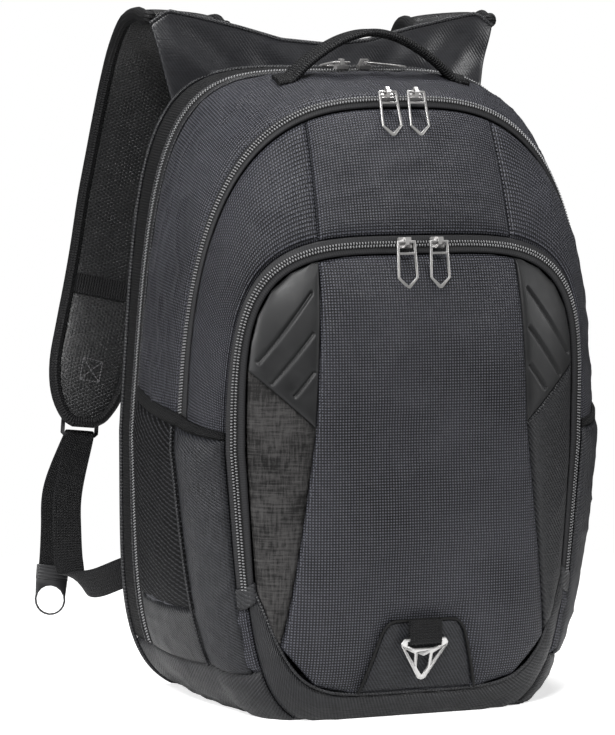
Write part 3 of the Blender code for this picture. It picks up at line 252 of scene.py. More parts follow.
def angle_across(across, depth):
    """The angle over the top at which the surface is this far to the right, from a search by halves."""
    across, depth = np.broadcast_arrays(np.asarray(across, float), np.asarray(depth, float))
    low, high = np.full(across.shape, math.radians(30)), np.full(across.shape, math.radians(90))
    for _ in range(40):
        middle = (low + high) / 2
        wide = surface(middle, depth)[..., 0] > np.abs(across)
        low, high = np.where(wide, middle, low), np.where(wide, high, middle)
    return np.where(across >= 0, low, math.pi - low)


def face_point(across, height):
    """A point of the pocket face over a place in the XZ plane."""
    rim = RIMS[FRONT]
    across, height = np.broadcast_arrays(np.asarray(across, float), np.asarray(height, float))
    upper = height >= BELLY_HEIGHT
    rise = np.where(upper, BAG_HEIGHT * rim.top - BELLY_HEIGHT, FOOT_DROP)
    power = np.where(upper, rim.roundness, FOOT_ROUNDNESS)
    up = (height - BELLY_HEIGHT) / rise
    side = across / (HALF_WIDTH * rim.half_width * (1 - rim.foot_taper * np.maximum(-up, 0)))
    spread = (np.abs(side) ** power + np.abs(up) ** power) ** (1 / power)
    edge = rim_depth(rim, np.arctan2(up, side))
    depth = BAG_DEPTH - (BAG_DEPTH - edge) * spread**FACE_FULLNESS
    return np.stack([across, -depth, height], axis=-1)


def face_normal(across, height):
    step = 1e-3
    sideways = face_point(across + step, height) - face_point(across - step, height)
    upwards = face_point(across, height + step) - face_point(across, height - step)
    return unit(np.cross(sideways, upwards))


BASE_ANGLE = rim_angle(BASE_HEIGHT)
FRONT_END_ANGLE = rim_angle(FRONT_ZIP_END)
MAIN_END_ANGLE = rim_angle(MAIN_ZIP_END)


def inset_borders(points):
    """Moves the border rows of a grid in, so that neighbouring panels keep a seam's gap."""
    moved = points.copy()
    for axis in (0, 1):
        rows = np.moveaxis(moved, axis, 0)
        rows[0] += unit(rows[1] - rows[0]) * HALF_GAP
        rows[-1] += unit(rows[-2] - rows[-1]) * HALF_GAP
    return moved


def grid_solid(outer, inner):
    """Points and faces of a closed sheet between two grids of one shape."""
    rows, columns = outer.shape[:2]
    points = np.concatenate([outer.reshape(-1, 3), inner.reshape(-1, 3)])
    number = np.arange(rows * columns).reshape(rows, columns)
    back = rows * columns
    faces = []
    for i in range(rows - 1):
        for j in range(columns - 1):
            a, b, c, d = number[i, j], number[i + 1, j], number[i + 1, j + 1], number[i, j + 1]
            faces.append((a, b, c, d))
            faces.append((d + back, c + back, b + back, a + back))
    border = [*number[:, 0], *number[-1, 1:], *number[::-1, -1][1:], *number[0, ::-1][1:-1]]
    for p, q in zip(border, border[1:] + border[:1]):
        faces.append((q, p, p + back, q + back))
    return points, [tuple(int(n) for n in face) for face in faces]


def spread_angles(stops, steps):
    """Angles from stop to stop, with a number of equal steps between each pair."""
    found = [stops[0]]
    for start, end, count in zip(stops, stops[1:], steps):
        found += list(np.linspace(start, end, count + 1)[1:])
    return np.array(found)


def both_halves(right):
    """Angles of the right half, up to the top, and their mirror images down the left."""
    right = np.array(right)
    return np.concatenate([right, math.pi - right[::-1][1:]])


def grid(angles, start, end, columns):
    """Angle and depth grids between two border lines given at each angle."""
    shares = np.linspace(0, 1, columns)
    depths = start[:, None] + (end - start)[:, None] * shares
    return np.repeat(angles[:, None], columns, axis=1), depths


STEP = 0.004  # half of the short stretch where a border steps aside at a zip's end, as an angle


def zip_border(angles, rim, side, end_angle):
    """A panel's border along a zip: beside the tape where there is a zip, on the rim line past its end."""
    beside_tape = beside(angles, rim, side * (ZIP_WIDTH / 2 + ZIP_EASE))
    from_end = np.minimum(angles, math.pi - angles) - end_angle
    return np.where(from_end > 0, beside_tape, rim)


def body_angles():
    """Angles of the body's right half, from the base panel to the top, with both zips' ends."""
    return spread_angles((BASE_ANGLE, FRONT_END_ANGLE - STEP, FRONT_END_ANGLE + STEP, MAIN_END_ANGLE - STEP,
                          MAIN_END_ANGLE + STEP, math.radians(25), math.radians(65), math.pi / 2),
                         (2, 1, 2, 1, 2, 7, 3))


def base_angles():
    return np.linspace(math.pi - BASE_ANGLE, 2 * math.pi + BASE_ANGLE, 17)


def make_gussets():
    angles = both_halves(body_angles())
    rear_side = beside(angles, REAR, -ZIP_WIDTH / 2 - ZIP_EASE)
    surface_sheet("rear_gusset", *grid(angles, 0 * angles, rear_side, 2), CLOTH, "webbing")
    front_side = zip_border(angles, MAIN, -1, MAIN_END_ANGLE)
    rear_side = beside(angles, REAR, ZIP_WIDTH / 2 + ZIP_EASE)
    surface_sheet("main_gusset", *grid(angles, rear_side, front_side, 4), CLOTH, "dobby")


def upper_seam(depth):
    """How far out the seam beside the upper middle panel runs."""
    return HALF_WIDTH * (0.432 + 0.015 * (depth - MAIN))


def upper_line(share, columns):
    """The line down the upper front at a share of the way out to the seam, as angles and depth numbers."""
    ends = [float(beside(angle_across(share * upper_seam(rim), rim), rim, side * (ZIP_WIDTH / 2 + ZIP_EASE)))
            for rim, side in ((MAIN, 1), (FRONT, -1))]
    depths = np.linspace(*ends, columns)
    return angle_across(share * upper_seam(depths), depths), depths


def make_upper_panels():
    lines = [upper_line(share, 5) for share in np.linspace(1, -1, 9)]
    surface_sheet("upper_panel_centre", np.stack([a for a, _ in lines]), np.stack([d for _, d in lines]),
                  CLOTH, "dobby")
    both_sides("upper_panel", make_upper_side)


def make_upper_side(name):
    columns = 5
    right = body_angles()
    lower = right[right < math.radians(26)]
    angles, depths = grid(lower, zip_border(lower, MAIN, 1, MAIN_END_ANGLE),
                          zip_border(lower, FRONT, -1, FRONT_END_ANGLE), columns)
    seam_angles, _ = upper_line(1, columns)
    shares = np.linspace(0, 1, 9)[1:, None]
    upper = lower[-1] + (seam_angles - lower[-1]) * shares
    start = beside(upper[:, 0], MAIN, ZIP_WIDTH / 2 + ZIP_EASE)[:, None]
    end = beside(upper[:, -1], FRONT, -ZIP_WIDTH / 2 - ZIP_EASE)[:, None]
    across = np.linspace(0, 1, columns)
    return surface_sheet(name, np.concatenate([angles, upper]),
                         np.concatenate([depths, start + (end - start) * across]), CLOTH, "dobby")


def make_base():
    depths = spread_angles((BACK, REAR, MAIN, FRONT), (1, 3, 4))
    angles, depths = np.meshgrid(base_angles(), depths, indexing="ij")
    surface_sheet("base_panel", angles, depths, CLOTH, "plain")


def hem_depth(angle):
    """The depth number of the seam at the pocket's foot, which climbs the corner to the zip's end."""
    middle = FRONT + 1 - (BELLY_HEIGHT - POCKET_SEAM_HEIGHT) / FOOT_DROP
    end = beside(FRONT_END_ANGLE, FRONT, ZIP_WIDTH / 2)
    below = np.abs(angle - 1.5 * math.pi)
    share = below / (math.pi / 2 + FRONT_END_ANGLE)
    return middle + (end - middle) * share**5


def make_hem():
    corner = np.linspace(BASE_ANGLE, FRONT_END_ANGLE, 4)[1:]
    angles = np.concatenate([math.pi - corner[::-1], base_angles(), 2 * math.pi + corner])
    start = np.full(angles.shape, FRONT + 2 * ZIP_EASE / BELLY_HEIGHT)
    angles, depths = grid(angles, start, hem_depth(angles), 4)
    surface_sheet("front_hem", angles, depths, CLOTH, "plain")


def zip_edge(angle):
    """The inner edge of the front zip's tape."""
    return surface(angle, beside(angle, FRONT, ZIP_WIDTH / 2 + ZIP_EASE))


def hem_edge(angles):
    """The seam line at the pocket's foot, on the pocket's side."""
    return surface(angles, hem_depth(angles) + ZIP_EASE / (BELLY_HEIGHT / 2))


HEM_ANGLES = np.linspace(math.pi - FRONT_END_ANGLE, 2 * math.pi + FRONT_END_ANGLE, 81)


def foot_height(across):
    edge = hem_edge(HEM_ANGLES)
    return np.interp(across, edge[:, 0], edge[:, 2])


def arch_height(across):
    edge = zip_edge(np.linspace(math.radians(150), math.radians(30), 81))
    return np.interp(across, edge[:, 0], edge[:, 2])


def face_seam(share):
    """The seam between the pocket's middle panel and its sides, from the foot up: flared, then upright."""
    widths = (SEAM_SPREAD, SEAM_SPREAD * 0.90, SEAM_SPREAD * 0.79, SEAM_SPREAD * 0.733)
    across = np.interp(share, (0, 0.30, DIAGONAL_SHARE, 1), widths)
    foot, arch = foot_height(across), arch_height(across)
    return np.stack([across, foot + (arch - foot) * share], axis=-1)


SIDE_SHARES = np.linspace(0, DIAGONAL_SHARE, 8)
TRIM_SHARES = np.linspace(DIAGONAL_SHARE, 1, 6)


def make_pocket_centre():
    shares = np.concatenate([SIDE_SHARES, TRIM_SHARES[1:]])
    columns = np.linspace(-1, 1, 9)
    across = columns[:, None] * face_seam(shares)[None, :, 0]
    foot, arch = foot_height(across), arch_height(across)
    face_sheet("pocket_panel_centre", across, foot + (arch - foot) * shares[None, :], CLOTH, "dobby")


def fan(inner, outer, columns):
    """Rows of points from one border line to the other."""
    shares = np.linspace(0, 1, columns)[:, None, None]
    return inner[None] + (outer - inner)[None] * shares


def make_pocket_side(name):
    inner = face_seam(SIDE_SHARES)
    start = np.interp(SEAM_SPREAD * 1.03, hem_edge(HEM_ANGLES)[:, 0], HEM_ANGLES)
    hem_part = hem_edge(np.linspace(start, 2 * math.pi + FRONT_END_ANGLE, 4))
    zip_part = zip_edge(np.linspace(FRONT_END_ANGLE, rim_angle(DIAGONAL_END), 5))
    outer = np.concatenate([hem_part, zip_part[1:]])[:, [0, 2]]
    across, height = np.moveaxis(fan(inner, outer, 5), -1, 0)
    return face_sheet(name, across, height, CLOTH, "plain")


def make_pocket_trim(name):
    inner = face_seam(TRIM_SHARES)
    end = float(angle_across(inner[-1, 0] * 1.08, FRONT))
    outer = zip_edge(np.linspace(rim_angle(DIAGONAL_END), end, len(inner)))[:, [0, 2]]
    across, height = np.moveaxis(fan(inner, outer, 5), -1, 0)
    return face_sheet(name, across, height, TRIM_WALL, "trim")


# The three slots of each trim, as shares of half the bag's width and of its height
Slot = namedtuple("Slot", "inner_across inner_height outer_across outer_height")
SLOTS = (
    Slot(0.500, 0.660, 0.720, 0.556),
    Slot(0.500, 0.600, 0.670, 0.524),
    Slot(0.500, 0.542, 0.580, 0.506),
)


def pocket_top(depth):
    share = (depth - REAR) / (FRONT - REAR)
    return POCKET_TOP_FRONT + (POCKET_TOP_REAR - POCKET_TOP_FRONT) * (1 - share) ** 2


def pocket_lift(angles, depths):
    """The side pocket lies on the body at its borders and bulges between them."""
    height = surface(angles, depths)[..., 2]
    up = np.clip((height - BASE_HEIGHT) / (POCKET_TOP_REAR - BASE_HEIGHT), 0, 1)
    along = np.clip((depths - REAR) / (FRONT - REAR), 0, 1)
    bulge = POCKET_BULGE * np.sin(math.pi * along) ** 0.8 * np.sin(math.pi * up * 0.62) ** 0.8
    return POCKET_WALL + LIFT_OFF + bulge


def side_pocket_piece(name, kind, low, high, depths, rows):
    lows = np.array([rim_angle(h, RIMS[MAIN]) for h in low(depths)])
    highs = np.array([rim_angle(h, RIMS[MAIN]) for h in high(depths)])
    angles = lows + (highs - lows) * np.linspace(0, 1, rows)[:, None]
    depths = np.repeat(depths[None], rows, axis=0)
    return surface_sheet(name, angles, depths, POCKET_WALL, kind, pocket_lift(angles, depths))


def make_side_pockets():
    rear = float(beside(0.0, REAR, ZIP_WIDTH / 2))
    front = float(beside(0.0, FRONT, -ZIP_WIDTH / 2))
    mesh_part = np.linspace(rear, REAR + MESH_SHARE, 5)
    cloth_part = np.linspace(REAR + MESH_SHARE, front, 5)
    whole = np.concatenate([mesh_part, cloth_part[1:]])

    def floor(depths):
        return np.full(depths.shape, BASE_HEIGHT)

    def mesh_foot(depths):
        return np.full(depths.shape, MESH_FOOT)

    def band_foot(depths):
        return pocket_top(depths) - BAND_WIDTH

    for name, kind, low, high, depths, rows in (
            ("side_pocket_mesh", "mesh", mesh_foot, band_foot, mesh_part, 6),
            ("side_pocket_cloth", "dobby", floor, band_foot, cloth_part, 8),
            ("side_pocket_foot", "plain", floor, mesh_foot, mesh_part, 3),
            ("side_pocket_band", "webbing", band_foot, pocket_top, whole, 2)):
        right = side_pocket_piece(name + "_R", kind, low, high, depths, rows)
        mirrored(right, name + "_L")


def triangle_area(a, b, c):
    return ((b[0] - a[0]) * (c[1] - a[1]) - (b[1] - a[1]) * (c[0] - a[0])) / 2


def plate_mesh(name, outline, holes, low, high):
    """A plate in the XY plane between two heights, with holes through it."""
    loops = [list(map(tuple, loop)) for loop in [outline] + list(holes)]
    flat = [p for loop in loops for p in loop]
    count = len(flat)
    points = [(x, y, low) for x, y in flat] + [(x, y, high) for x, y in flat]
    faces = []
    triangles = tessellate_polygon([[Vector((x, y, 0)) for x, y in loop] for loop in loops])
    if sum(triangle_area(*(flat[i] for i in triangle)) for triangle in triangles) < 0:
        triangles = [(c, b, a) for a, b, c in triangles]
    for a, b, c in triangles:
        faces += [(a + count, b + count, c + count), (c, b, a)]
    start = 0
    for number, loop in enumerate(loops):
        area = sum(x0 * y1 - x1 * y0 for (x0, y0), (x1, y1) in zip(loop, loop[1:] + loop[:1]))
        turn = 1 if (area > 0) == (number == 0) else -1
        for i in range(len(loop)):
            p, q = start + i, start + (i + 1) % len(loop)
            if turn < 0:
                p, q = q, p
            faces.append((p, q, q + count, p + count))
        start += len(loop)
    return new_mesh(name, points, faces)


def smooth_path(points, steps):
    """A curve through a few points, with steps between each pair."""
    points = np.array(points, float)
    ends = np.concatenate([[2 * points[0] - points[1]], points, [2 * points[-1] - points[-2]]])
    found = []
    for p0, p1, p2, p3 in zip(ends, ends[1:], ends[2:], ends[3:]):
        for t in np.linspace(0, 1, steps, endpoint=False):
            found.append(0.5 * (2 * p1 + (p2 - p0) * t + (2 * p0 - 5 * p1 + 4 * p2 - p3) * t**2
                                + (3 * p1 - p0 - 3 * p2 + p3) * t**3))
    return np.array(found + [points[-1]])


# The yoke's upper edge: shares of half its width and of its height above the foot
YokeEdge = namedtuple("YokeEdge", "across top")
YOKE_EDGE = (YokeEdge(0.00, 0.690), YokeEdge(0.25, 0.730), YokeEdge(0.50, 0.850), YokeEdge(0.75, 0.950),
             YokeEdge(0.90, 1.000), YokeEdge(1.00, 0.880))

# The strap's middle line from the yoke down: shares of half the bag's width, of the strap's reach behind the
# bag and of the bag's height, with its width as a share and the slope of its upper end
StrapRow = namedtuple("StrapRow", "across reach height width slope")
STRAP = (
    StrapRow(0.654, 0.116, 1.071, 0.98, 0.12),
    StrapRow(0.656, 0.180, 1.072, 0.98, 0.11),
    StrapRow(0.662, 0.300, 1.080, 1.00, 0.08),
    StrapRow(0.680, 0.480, 1.071, 1.02, 0.03),
    StrapRow(0.692, 0.665, 1.030, 1.03, 0.00),
    StrapRow(0.706, 0.785, 0.977, 1.03, 0.00),
    StrapRow(0.729, 0.858, 0.917, 1.02, 0.00),
    StrapRow(0.760, 0.910, 0.850, 1.00, 0.00),
    StrapRow(0.797, 0.952, 0.775, 0.98, 0.00),
    StrapRow(0.834, 0.978, 0.690, 0.96, 0.00),
    StrapRow(0.872, 0.968, 0.620, 0.96, 0.00),
    StrapRow(0.920, 0.925, 0.555, 0.95, 0.00),
    StrapRow(0.968, 0.880, 0.500, 0.90, 0.00),
    StrapRow(0.994, 0.850, 0.455, 0.76, 0.00),
    StrapRow(1.008, 0.832, 0.424, 0.50, 0.00),
    StrapRow(1.012, 0.826, 0.412, 0.26, 0.00),
)


def strap_table():
    return np.array(STRAP) * np.array([HALF_WIDTH, STRAP_REACH, BAG_HEIGHT, STRAP_WIDTH, 1])


def pad_section(width, thickness):
    """A padded strap's section: a flat lens with bound edges."""
    half, edge = width / 2, thickness * 0.28
    return [(-half, -edge), (-half * 0.6, -thickness / 2), (half * 0.6, -thickness / 2), (half, -edge),
            (half, edge), (half * 0.6, thickness / 2), (-half * 0.6, thickness / 2), (-half, edge)]


def strap_place(height_share):
    """A strap's middle, tangent and width at a share of the bag's height, below its crest."""
    rows = smooth_path(strap_table(), 8)
    rows = rows[np.argmax(rows[:, 2]):]
    order = np.argsort(rows[:, 2])
    target = height_share * BAG_HEIGHT
    values = [np.interp(target, rows[order, 2], rows[order, k]) for k in range(4)]
    step = 0.004
    ahead = [np.interp(target - step, rows[order, 2], rows[order, k]) for k in range(3)]
    return np.array(values[:3]), unit(np.array(ahead) - np.array(values[:3])), values[3]


def strap_frame(height_share):
    """The strap's middle at a share of the bag's height, and its directions: along, across and out."""
    centre, along, _ = strap_place(height_share)
    across = unit(np.array([1, 0, 0]) - along * along[0])
    out = unit(np.cross(across, along))
    return centre, along, across, out if out[1] > 0 else -out


def make_keeper(name):
    """An elastic loop round the strap that keeps the loose webbing in."""
    centre, along, width = strap_place(0.630)
    across = unit(np.array([1, 0, 0]) - along * along[0])
    face = np.cross(along, across)
    inner = pad_section(width + 6 * SEAM_GAP + KEEPER_WALL, STRAP_THICKNESS + 6 * SEAM_GAP + KEEPER_WALL)
    path = [centre + across * a + face * b for a, b in inner]
    hints = np.tile(along, (len(path), 1))
    section = band_section(KEEPER_WIDTH, KEEPER_WALL)
    return new_object(name, sweep_mesh(name, path, hints, [section] * len(path), closed=True), "webbing")


LOCK_HEIGHT_SHARE = 0.402
TURN_RADIUS = math.hypot(BAR, LOCK_THICKNESS) / 2 + 2 * SEAM_GAP + WEBBING / 2
LOCK_SETBACK = STRAP_THICKNESS / 2 + SEAM_GAP + WEBBING / 2 + TURN_RADIUS


def lock_frame():
    """The middle of the ladder lock, behind the strap's end, and its directions: across, up and out."""
    centre, along, across, out = strap_frame(LOCK_HEIGHT_SHARE + 0.012)
    return centre + out * LOCK_SETBACK, across, -along, out


def frame_matrix(origin, x_axis, y_axis, z_axis):
    matrix = Matrix.Identity(4)
    for column, axis in enumerate((x_axis, y_axis, z_axis, origin)):
        for row in range(3):
            matrix[row][column] = float(axis[row])
    return matrix


def rounded_box(width, height, corner):
    half_x, half_y = width / 2, height / 2
    return [(-half_x + corner, -half_y), (half_x - corner, -half_y), (half_x, -half_y + corner),
            (half_x, half_y - corner), (half_x - corner, half_y), (-half_x + corner, half_y),
            (-half_x, half_y - corner), (-half_x, -half_y + corner)]


LOCK_WIDTH = WEB_WIDTH + 2 * (BAR + 2 * SEAM_GAP)
LOCK_SLOT = (LOCK_HEIGHT - 3 * BAR) / 2


def lock_hole(side):
    """A slot of the ladder lock, above or below its middle bar."""
    half = WEB_WIDTH / 2 + 2 * SEAM_GAP
    near, far = side * BAR / 2, side * (BAR / 2 + LOCK_SLOT)
    return [(-half, near), (half, near), (half, far), (-half, far)]


def make_lock(name):
    centre, across, up, _ = lock_frame()
    place = frame_matrix(centre, across, up, np.cross(across, up))
    mesh = plate_mesh(name, rounded_box(LOCK_WIDTH, LOCK_HEIGHT, BAR), [lock_hole(1), lock_hole(-1)],
                      -LOCK_THICKNESS / 2, LOCK_THICKNESS / 2)
    mesh.transform(place)
    return new_object(name, mesh, "plastic")


def turn_round_bar(bar_height, steps, over):
    """A half turn of webbing round a bar of the lock, as points in the lock's up and out directions."""
    return [(bar_height + over * TURN_RADIUS * math.sin(a), -TURN_RADIUS * math.cos(a))
            for a in np.linspace(0, math.pi, steps)]


def on_strap(height_share, layer):
    """A point over the strap's outer face, for a number of layers of webbing."""
    centre, _, _, out = strap_frame(height_share)
    return centre + out * (STRAP_THICKNESS / 2 + SEAM_GAP + LIFT_OFF + WEBBING / 2
                           + layer * (WEBBING + SEAM_GAP))


def make_buckle_loop(name):
    """Webbing sewn on the strap's outer face, round the lock's upper bar."""
    centre, across, up, out = lock_frame()
    turn = [centre + up * u + out * o for u, o in turn_round_bar(LOCK_HEIGHT / 2 - BAR / 2, 7, -1)]
    near = [on_strap(share, 0) for share in (0.520, 0.495, 0.470)]
    far = [on_strap(share, 1) for share in (0.470, 0.495, 0.520)]
    path = np.array(near + turn + far)
    section = band_section(WEB_WIDTH - 0.001, WEBBING)
    mesh = sweep_mesh(name, path, np.tile(across, (len(path), 1)), [section] * len(path))
    return new_object(name, mesh, "webbing")


# The adjuster webbing from the bag to the lock and down its free tail: shares of half the bag's width, of the
# strap's reach and of the bag's height, and the direction of the webbing's width
WebRow = namedtuple("WebRow", "across reach height width_x width_y width_z")
WEB_LOWER = (
    WebRow(0.860, 0.0120, 0.1920, 0.00, 0.0, 1.0),
    WebRow(0.900, 0.0120, 0.1920, 0.00, 0.0, 1.0),
    WebRow(0.955, 0.0160, 0.1905, 0.05, 0.0, 1.0),
    WebRow(1.030, 0.1000, 0.1760, 0.15, 0.0, 1.0),
    WebRow(1.085, 0.2700, 0.1600, 0.30, 0.2, 0.9),
    WebRow(1.130, 0.4500, 0.1600, 0.60, 0.5, 0.6),
    WebRow(1.140, 0.5700, 0.1860, 0.90, 0.4, 0.1),
    WebRow(1.130, 0.6500, 0.2400, 1.00, 0.1, 0.0),
    WebRow(1.112, 0.7200, 0.3000, 1.00, 0.0, 0.0),
)
WEB_TAIL = (
    WebRow(1.120, 0.9600, 0.3000, 1.00, 0.0, 0.0),
    WebRow(1.132, 0.9400, 0.2440, 1.00, 0.0, 0.0),
    WebRow(1.146, 0.9000, 0.1920, 1.00, 0.0, -0.1),
    WebRow(1.160, 0.8700, 0.1610, 1.00, 0.0, -0.15),
)


def web_rows(table):
    return np.array(table) * np.array([HALF_WIDTH, STRAP_REACH, BAG_HEIGHT, 1, 1, 1])


def make_adjuster(name):
    """One strip of webbing: from the back panel up round the lock's lower bar and down to the free end."""
    centre, across, up, out = lock_frame()
    bar = -LOCK_HEIGHT / 2 + BAR / 2
    turn = np.array([centre + up * u + out * o for u, o in turn_round_bar(bar, 7, 1)])
    turn_rows = np.concatenate([turn, np.tile(across, (len(turn), 1))], axis=1)
    lower, tail = web_rows(WEB_LOWER), web_rows(WEB_TAIL)
    rows = np.concatenate([smooth_path(np.concatenate([lower, turn_rows[:1]]), 2)[:-1], turn_rows,
                           smooth_path(np.concatenate([turn_rows[-1:], tail]), 2)[1:]])
    section = band_section(WEB_WIDTH - 0.001, WEBBING)
    return new_object(name, sweep_mesh(name, rows[:, :3], rows[:, 3:], [section] * len(rows)), "webbing")


def make_pull_tab(name):
    """The moulded end of the webbing: a flat tab with a thumb ring below it."""
    rows = web_rows(WEB_TAIL)
    along = unit(rows[-1, :3] - rows[-2, :3])
    across = unit(rows[-1, 3:] - along * np.dot(rows[-1, 3:], along))
    out = np.cross(across, -along)
    top = rows[-1, :3] + along * (SEAM_GAP + LIFT_OFF)
    place = frame_matrix(top, across, -along, out)
    half = WEB_WIDTH / 2 + 0.0006
    middle = -TAB_HEIGHT - THUMB_RING + 0.0025
    arc = [(THUMB_RING * math.cos(a), middle + THUMB_RING * math.sin(a))
           for a in np.linspace(math.radians(165), math.radians(375), 13)]
    outline = [(half, 0), (-half, 0), (-half, -TAB_HEIGHT * 0.75)] + arc + [(half, -TAB_HEIGHT * 0.75)]
    inner = THUMB_RING - THUMB_WIRE
    hole = [(inner * math.cos(a), middle + inner * math.sin(a))
            for a in np.linspace(0, 2 * math.pi, 16, endpoint=False)]
    mesh = plate_mesh(name, outline, [hole], -TAB_THICKNESS / 2, TAB_THICKNESS / 2)
    mesh.transform(place)
    return new_object(name, mesh, "plastic")


RING_AXIS_HEIGHT = LOOP_FOOT + 0.0025
RING_BAR = 0.0022


def ring_frame():
    """The ring's top bar, in front of the patch, and its directions."""
    base = face_point(0.0, RING_AXIS_HEIGHT)
    out = face_normal(0.0, RING_AXIS_HEIGHT)
    lift = LIFT_OFF + PATCH_WALL + 2 * SEAM_GAP + WEBBING + RING_BAR * 0.5 ** 0.5 + BAR_PLAY
    up = unit(np.cross(out, np.array([1.0, 0, 0])))
    return base + out * lift, np.array([1.0, 0, 0]), up, out, lift


def make_ring_loop():
    """Webbing folded round the ring's bar, both layers sewn to the patch above it."""
    bar, _, up, out, _ = ring_frame()
    reach = RING_BAR * 0.5 ** 0.5 + BAR_PLAY + WEBBING / 2
    top = LOOP_TOP - RING_AXIS_HEIGHT
    back = -reach
    path = [(top, back), (top * 0.5, back), (0.001, back)]
    path += [(-reach * math.sin(a), -reach * math.cos(a))
             for a in np.linspace(math.pi / 6, math.pi * 5 / 6, 5)]
    clear = back + WEBBING + 2 * SEAM_GAP
    path += [(0.001, reach), (top * 0.45, clear + 0.0006), (top, clear)]
    points = np.array([bar + up * u + out * o for u, o in path])
    hints = np.tile([1.0, 0, 0], (len(points), 1))
    section = band_section(LOOP_WIDTH, WEBBING)
    new_object("ring_loop", sweep_mesh("ring_loop", points, hints, [section] * len(points)), "webbing")


def make_ring():
    """A cast triangle that points down, with a winged plate and two struts inside it."""
    bar, across, up, out, lift = ring_frame()
    half, drop, edge = RING_WIDTH / 2, RING_HEIGHT, RING_BAR
    outline = [(-half + edge, edge / 2), (half - edge, edge / 2), (half, -edge),
               (half - 0.0006, -edge * 2.2), (0.003, -drop + edge), (0.0, -drop + edge / 2),
               (-0.003, -drop + edge), (-half + 0.0006, -edge * 2.2), (-half, -edge)]
    window = LOOP_WIDTH / 2 + 2 * BAR_PLAY
    upper = [(-window, -edge / 2), (window, -edge / 2), (window, -edge * 2.0), (0.0075, -edge * 3.0),
             (-0.0075, -edge * 3.0), (-window, -edge * 2.0)]
    lower = [(-0.0048, -edge * 4.8), (0.0, -edge * 5.9), (0.0048, -edge * 4.8), (0.0044, -0.0215),
             (0.0, -drop + edge * 2.1), (-0.0044, -0.0215)]
    left = [(-half + edge * 1.6, -edge * 2.9), (-0.0072, -edge * 4.9), (-0.0068, -0.0185)]
    right = [(-x, z) for x, z in left]
    holes = [upper, lower, left, right]
    mesh = plate_mesh("triangle_ring", outline, holes, -RING_THICKNESS / 2, RING_THICKNESS / 2)
    drop_room = lift - PATCH_WALL - 3 * LIFT_OFF - RING_THICKNESS / 2
    lean = math.asin(drop_room / RING_HEIGHT)
    new_object("triangle_ring", mesh, "silver",
               frame_matrix(bar, across, up * math.cos(lean) + out * math.sin(lean),
                            out * math.cos(lean) - up * math.sin(lean)))


def puller_mesh():
    """A five-sided wire frame in the XY plane that hangs from its top bar along -Y."""
    half, wire = PULLER_WIDTH / 2, PULLER_WIRE
    top, shoulder, tip = wire / 2, -(PULLER_LENGTH - PULLER_TIP), -PULLER_LENGTH + wire / 2
    neck = half - 0.0008
    outline = [(-neck, top), (neck, top), (half, shoulder), (0.0012, tip), (-0.0012, tip), (-half, shoulder)]
    bar = -PULLER_CROSSBAR
    upper = [(-neck + wire, top - wire), (neck - wire, top - wire), (neck - wire + 0.0002, bar + wire / 2),
             (-neck + wire - 0.0002, bar + wire / 2)]
    lower = [(-neck + wire - 0.0002, bar - wire / 2), (neck - wire + 0.0002, bar - wire / 2),
             (half - wire, shoulder + 0.0006), (0, tip + wire * 1.4), (-half + wire, shoulder + 0.0006)]
    return plate_mesh("puller", outline, [upper, lower], -wire / 2, wire / 2)


# Materials


def add(tree, kind, inputs=None, **settings):
    """A shader node with its settings and its inputs, which are values or other nodes' sockets."""
    made = tree.nodes.new(kind)
    for key, value in settings.items():
        setattr(made, key, value)
    for key, value in (inputs or {}).items():
        if isinstance(value, bpy.types.NodeSocket):
            tree.links.new(value, made.inputs[key])
        else:
            made.inputs[key].default_value = value
    return made


def calc(tree, operation, first, second=0.0, third=0.0):
    return add(tree, "ShaderNodeMath", {0: first, 1: second, 2: third}, operation=operation).outputs[0]


def wave(tree, coordinate, pitch, phase=0.0):
    """A sine of a coordinate in metres, from -1 to 1."""
    turned = calc(tree, "MULTIPLY_ADD", coordinate, 2 * math.pi / pitch, phase)
    return calc(tree, "SINE", turned)


def uv_axes(tree, name):
    uv = add(tree, "ShaderNodeUVMap", uv_map=name)
    split = add(tree, "ShaderNodeSeparateXYZ", {0: uv.outputs[0]})
    return uv.outputs[0], split.outputs[0], split.outputs[1]


def noise_value(tree, vector, scale, detail=3.0, roughness=0.5):
    made = add(tree, "ShaderNodeTexNoise", {"Vector": vector, "Scale": scale, "Detail": detail,
                                            "Roughness": roughness})
    return made.outputs["Fac"]


def stretched(tree, vector, scale):
    return add(tree, "ShaderNodeVectorMath", {0: vector, 1: scale}, operation="MULTIPLY").outputs[0]


def ramp(tree, value, low, high):
    """A value between two limits as 0 to 1."""
    settings = {"Value": value, "From Min": low, "From Max": high}
    return add(tree, "ShaderNodeMapRange", settings, clamp=True).outputs[0]


def mix_colour(tree, factor, first, second):
    made = add(tree, "ShaderNodeMix", data_type="RGBA")
    colours = [socket for socket in made.inputs if socket.type == "RGBA"]
    for socket, value in zip(colours, (first, second)):
        if isinstance(value, bpy.types.NodeSocket):
            tree.links.new(value, socket)
        else:
            socket.default_value = (*value, 1.0)
    tree.links.new(factor, made.inputs[0])
    return [socket for socket in made.outputs if socket.type == "RGBA"][0]


def start_material(name, roughness, metallic=0.0):
    made = bpy.data.materials.new("look_" + name)
    made.use_nodes = True
    tree = made.node_tree
    shader = tree.nodes["Principled BSDF"]
    shader.inputs["Roughness"].default_value = roughness
    shader.inputs["Metallic"].default_value = metallic
    return made, tree, shader


def stitch_mask(tree, along, across, inset, pitch=0.0036, half=0.00042):
    """Dashes of thread in a line at a distance from a panel's edge."""
    line = ramp(tree, calc(tree, "ABSOLUTE", calc(tree, "SUBTRACT", across, inset)), half * 1.6, half * 0.6)
    dash = ramp(tree, wave(tree, along, pitch), -0.55, -0.15)
    return calc(tree, "MULTIPLY", line, dash)


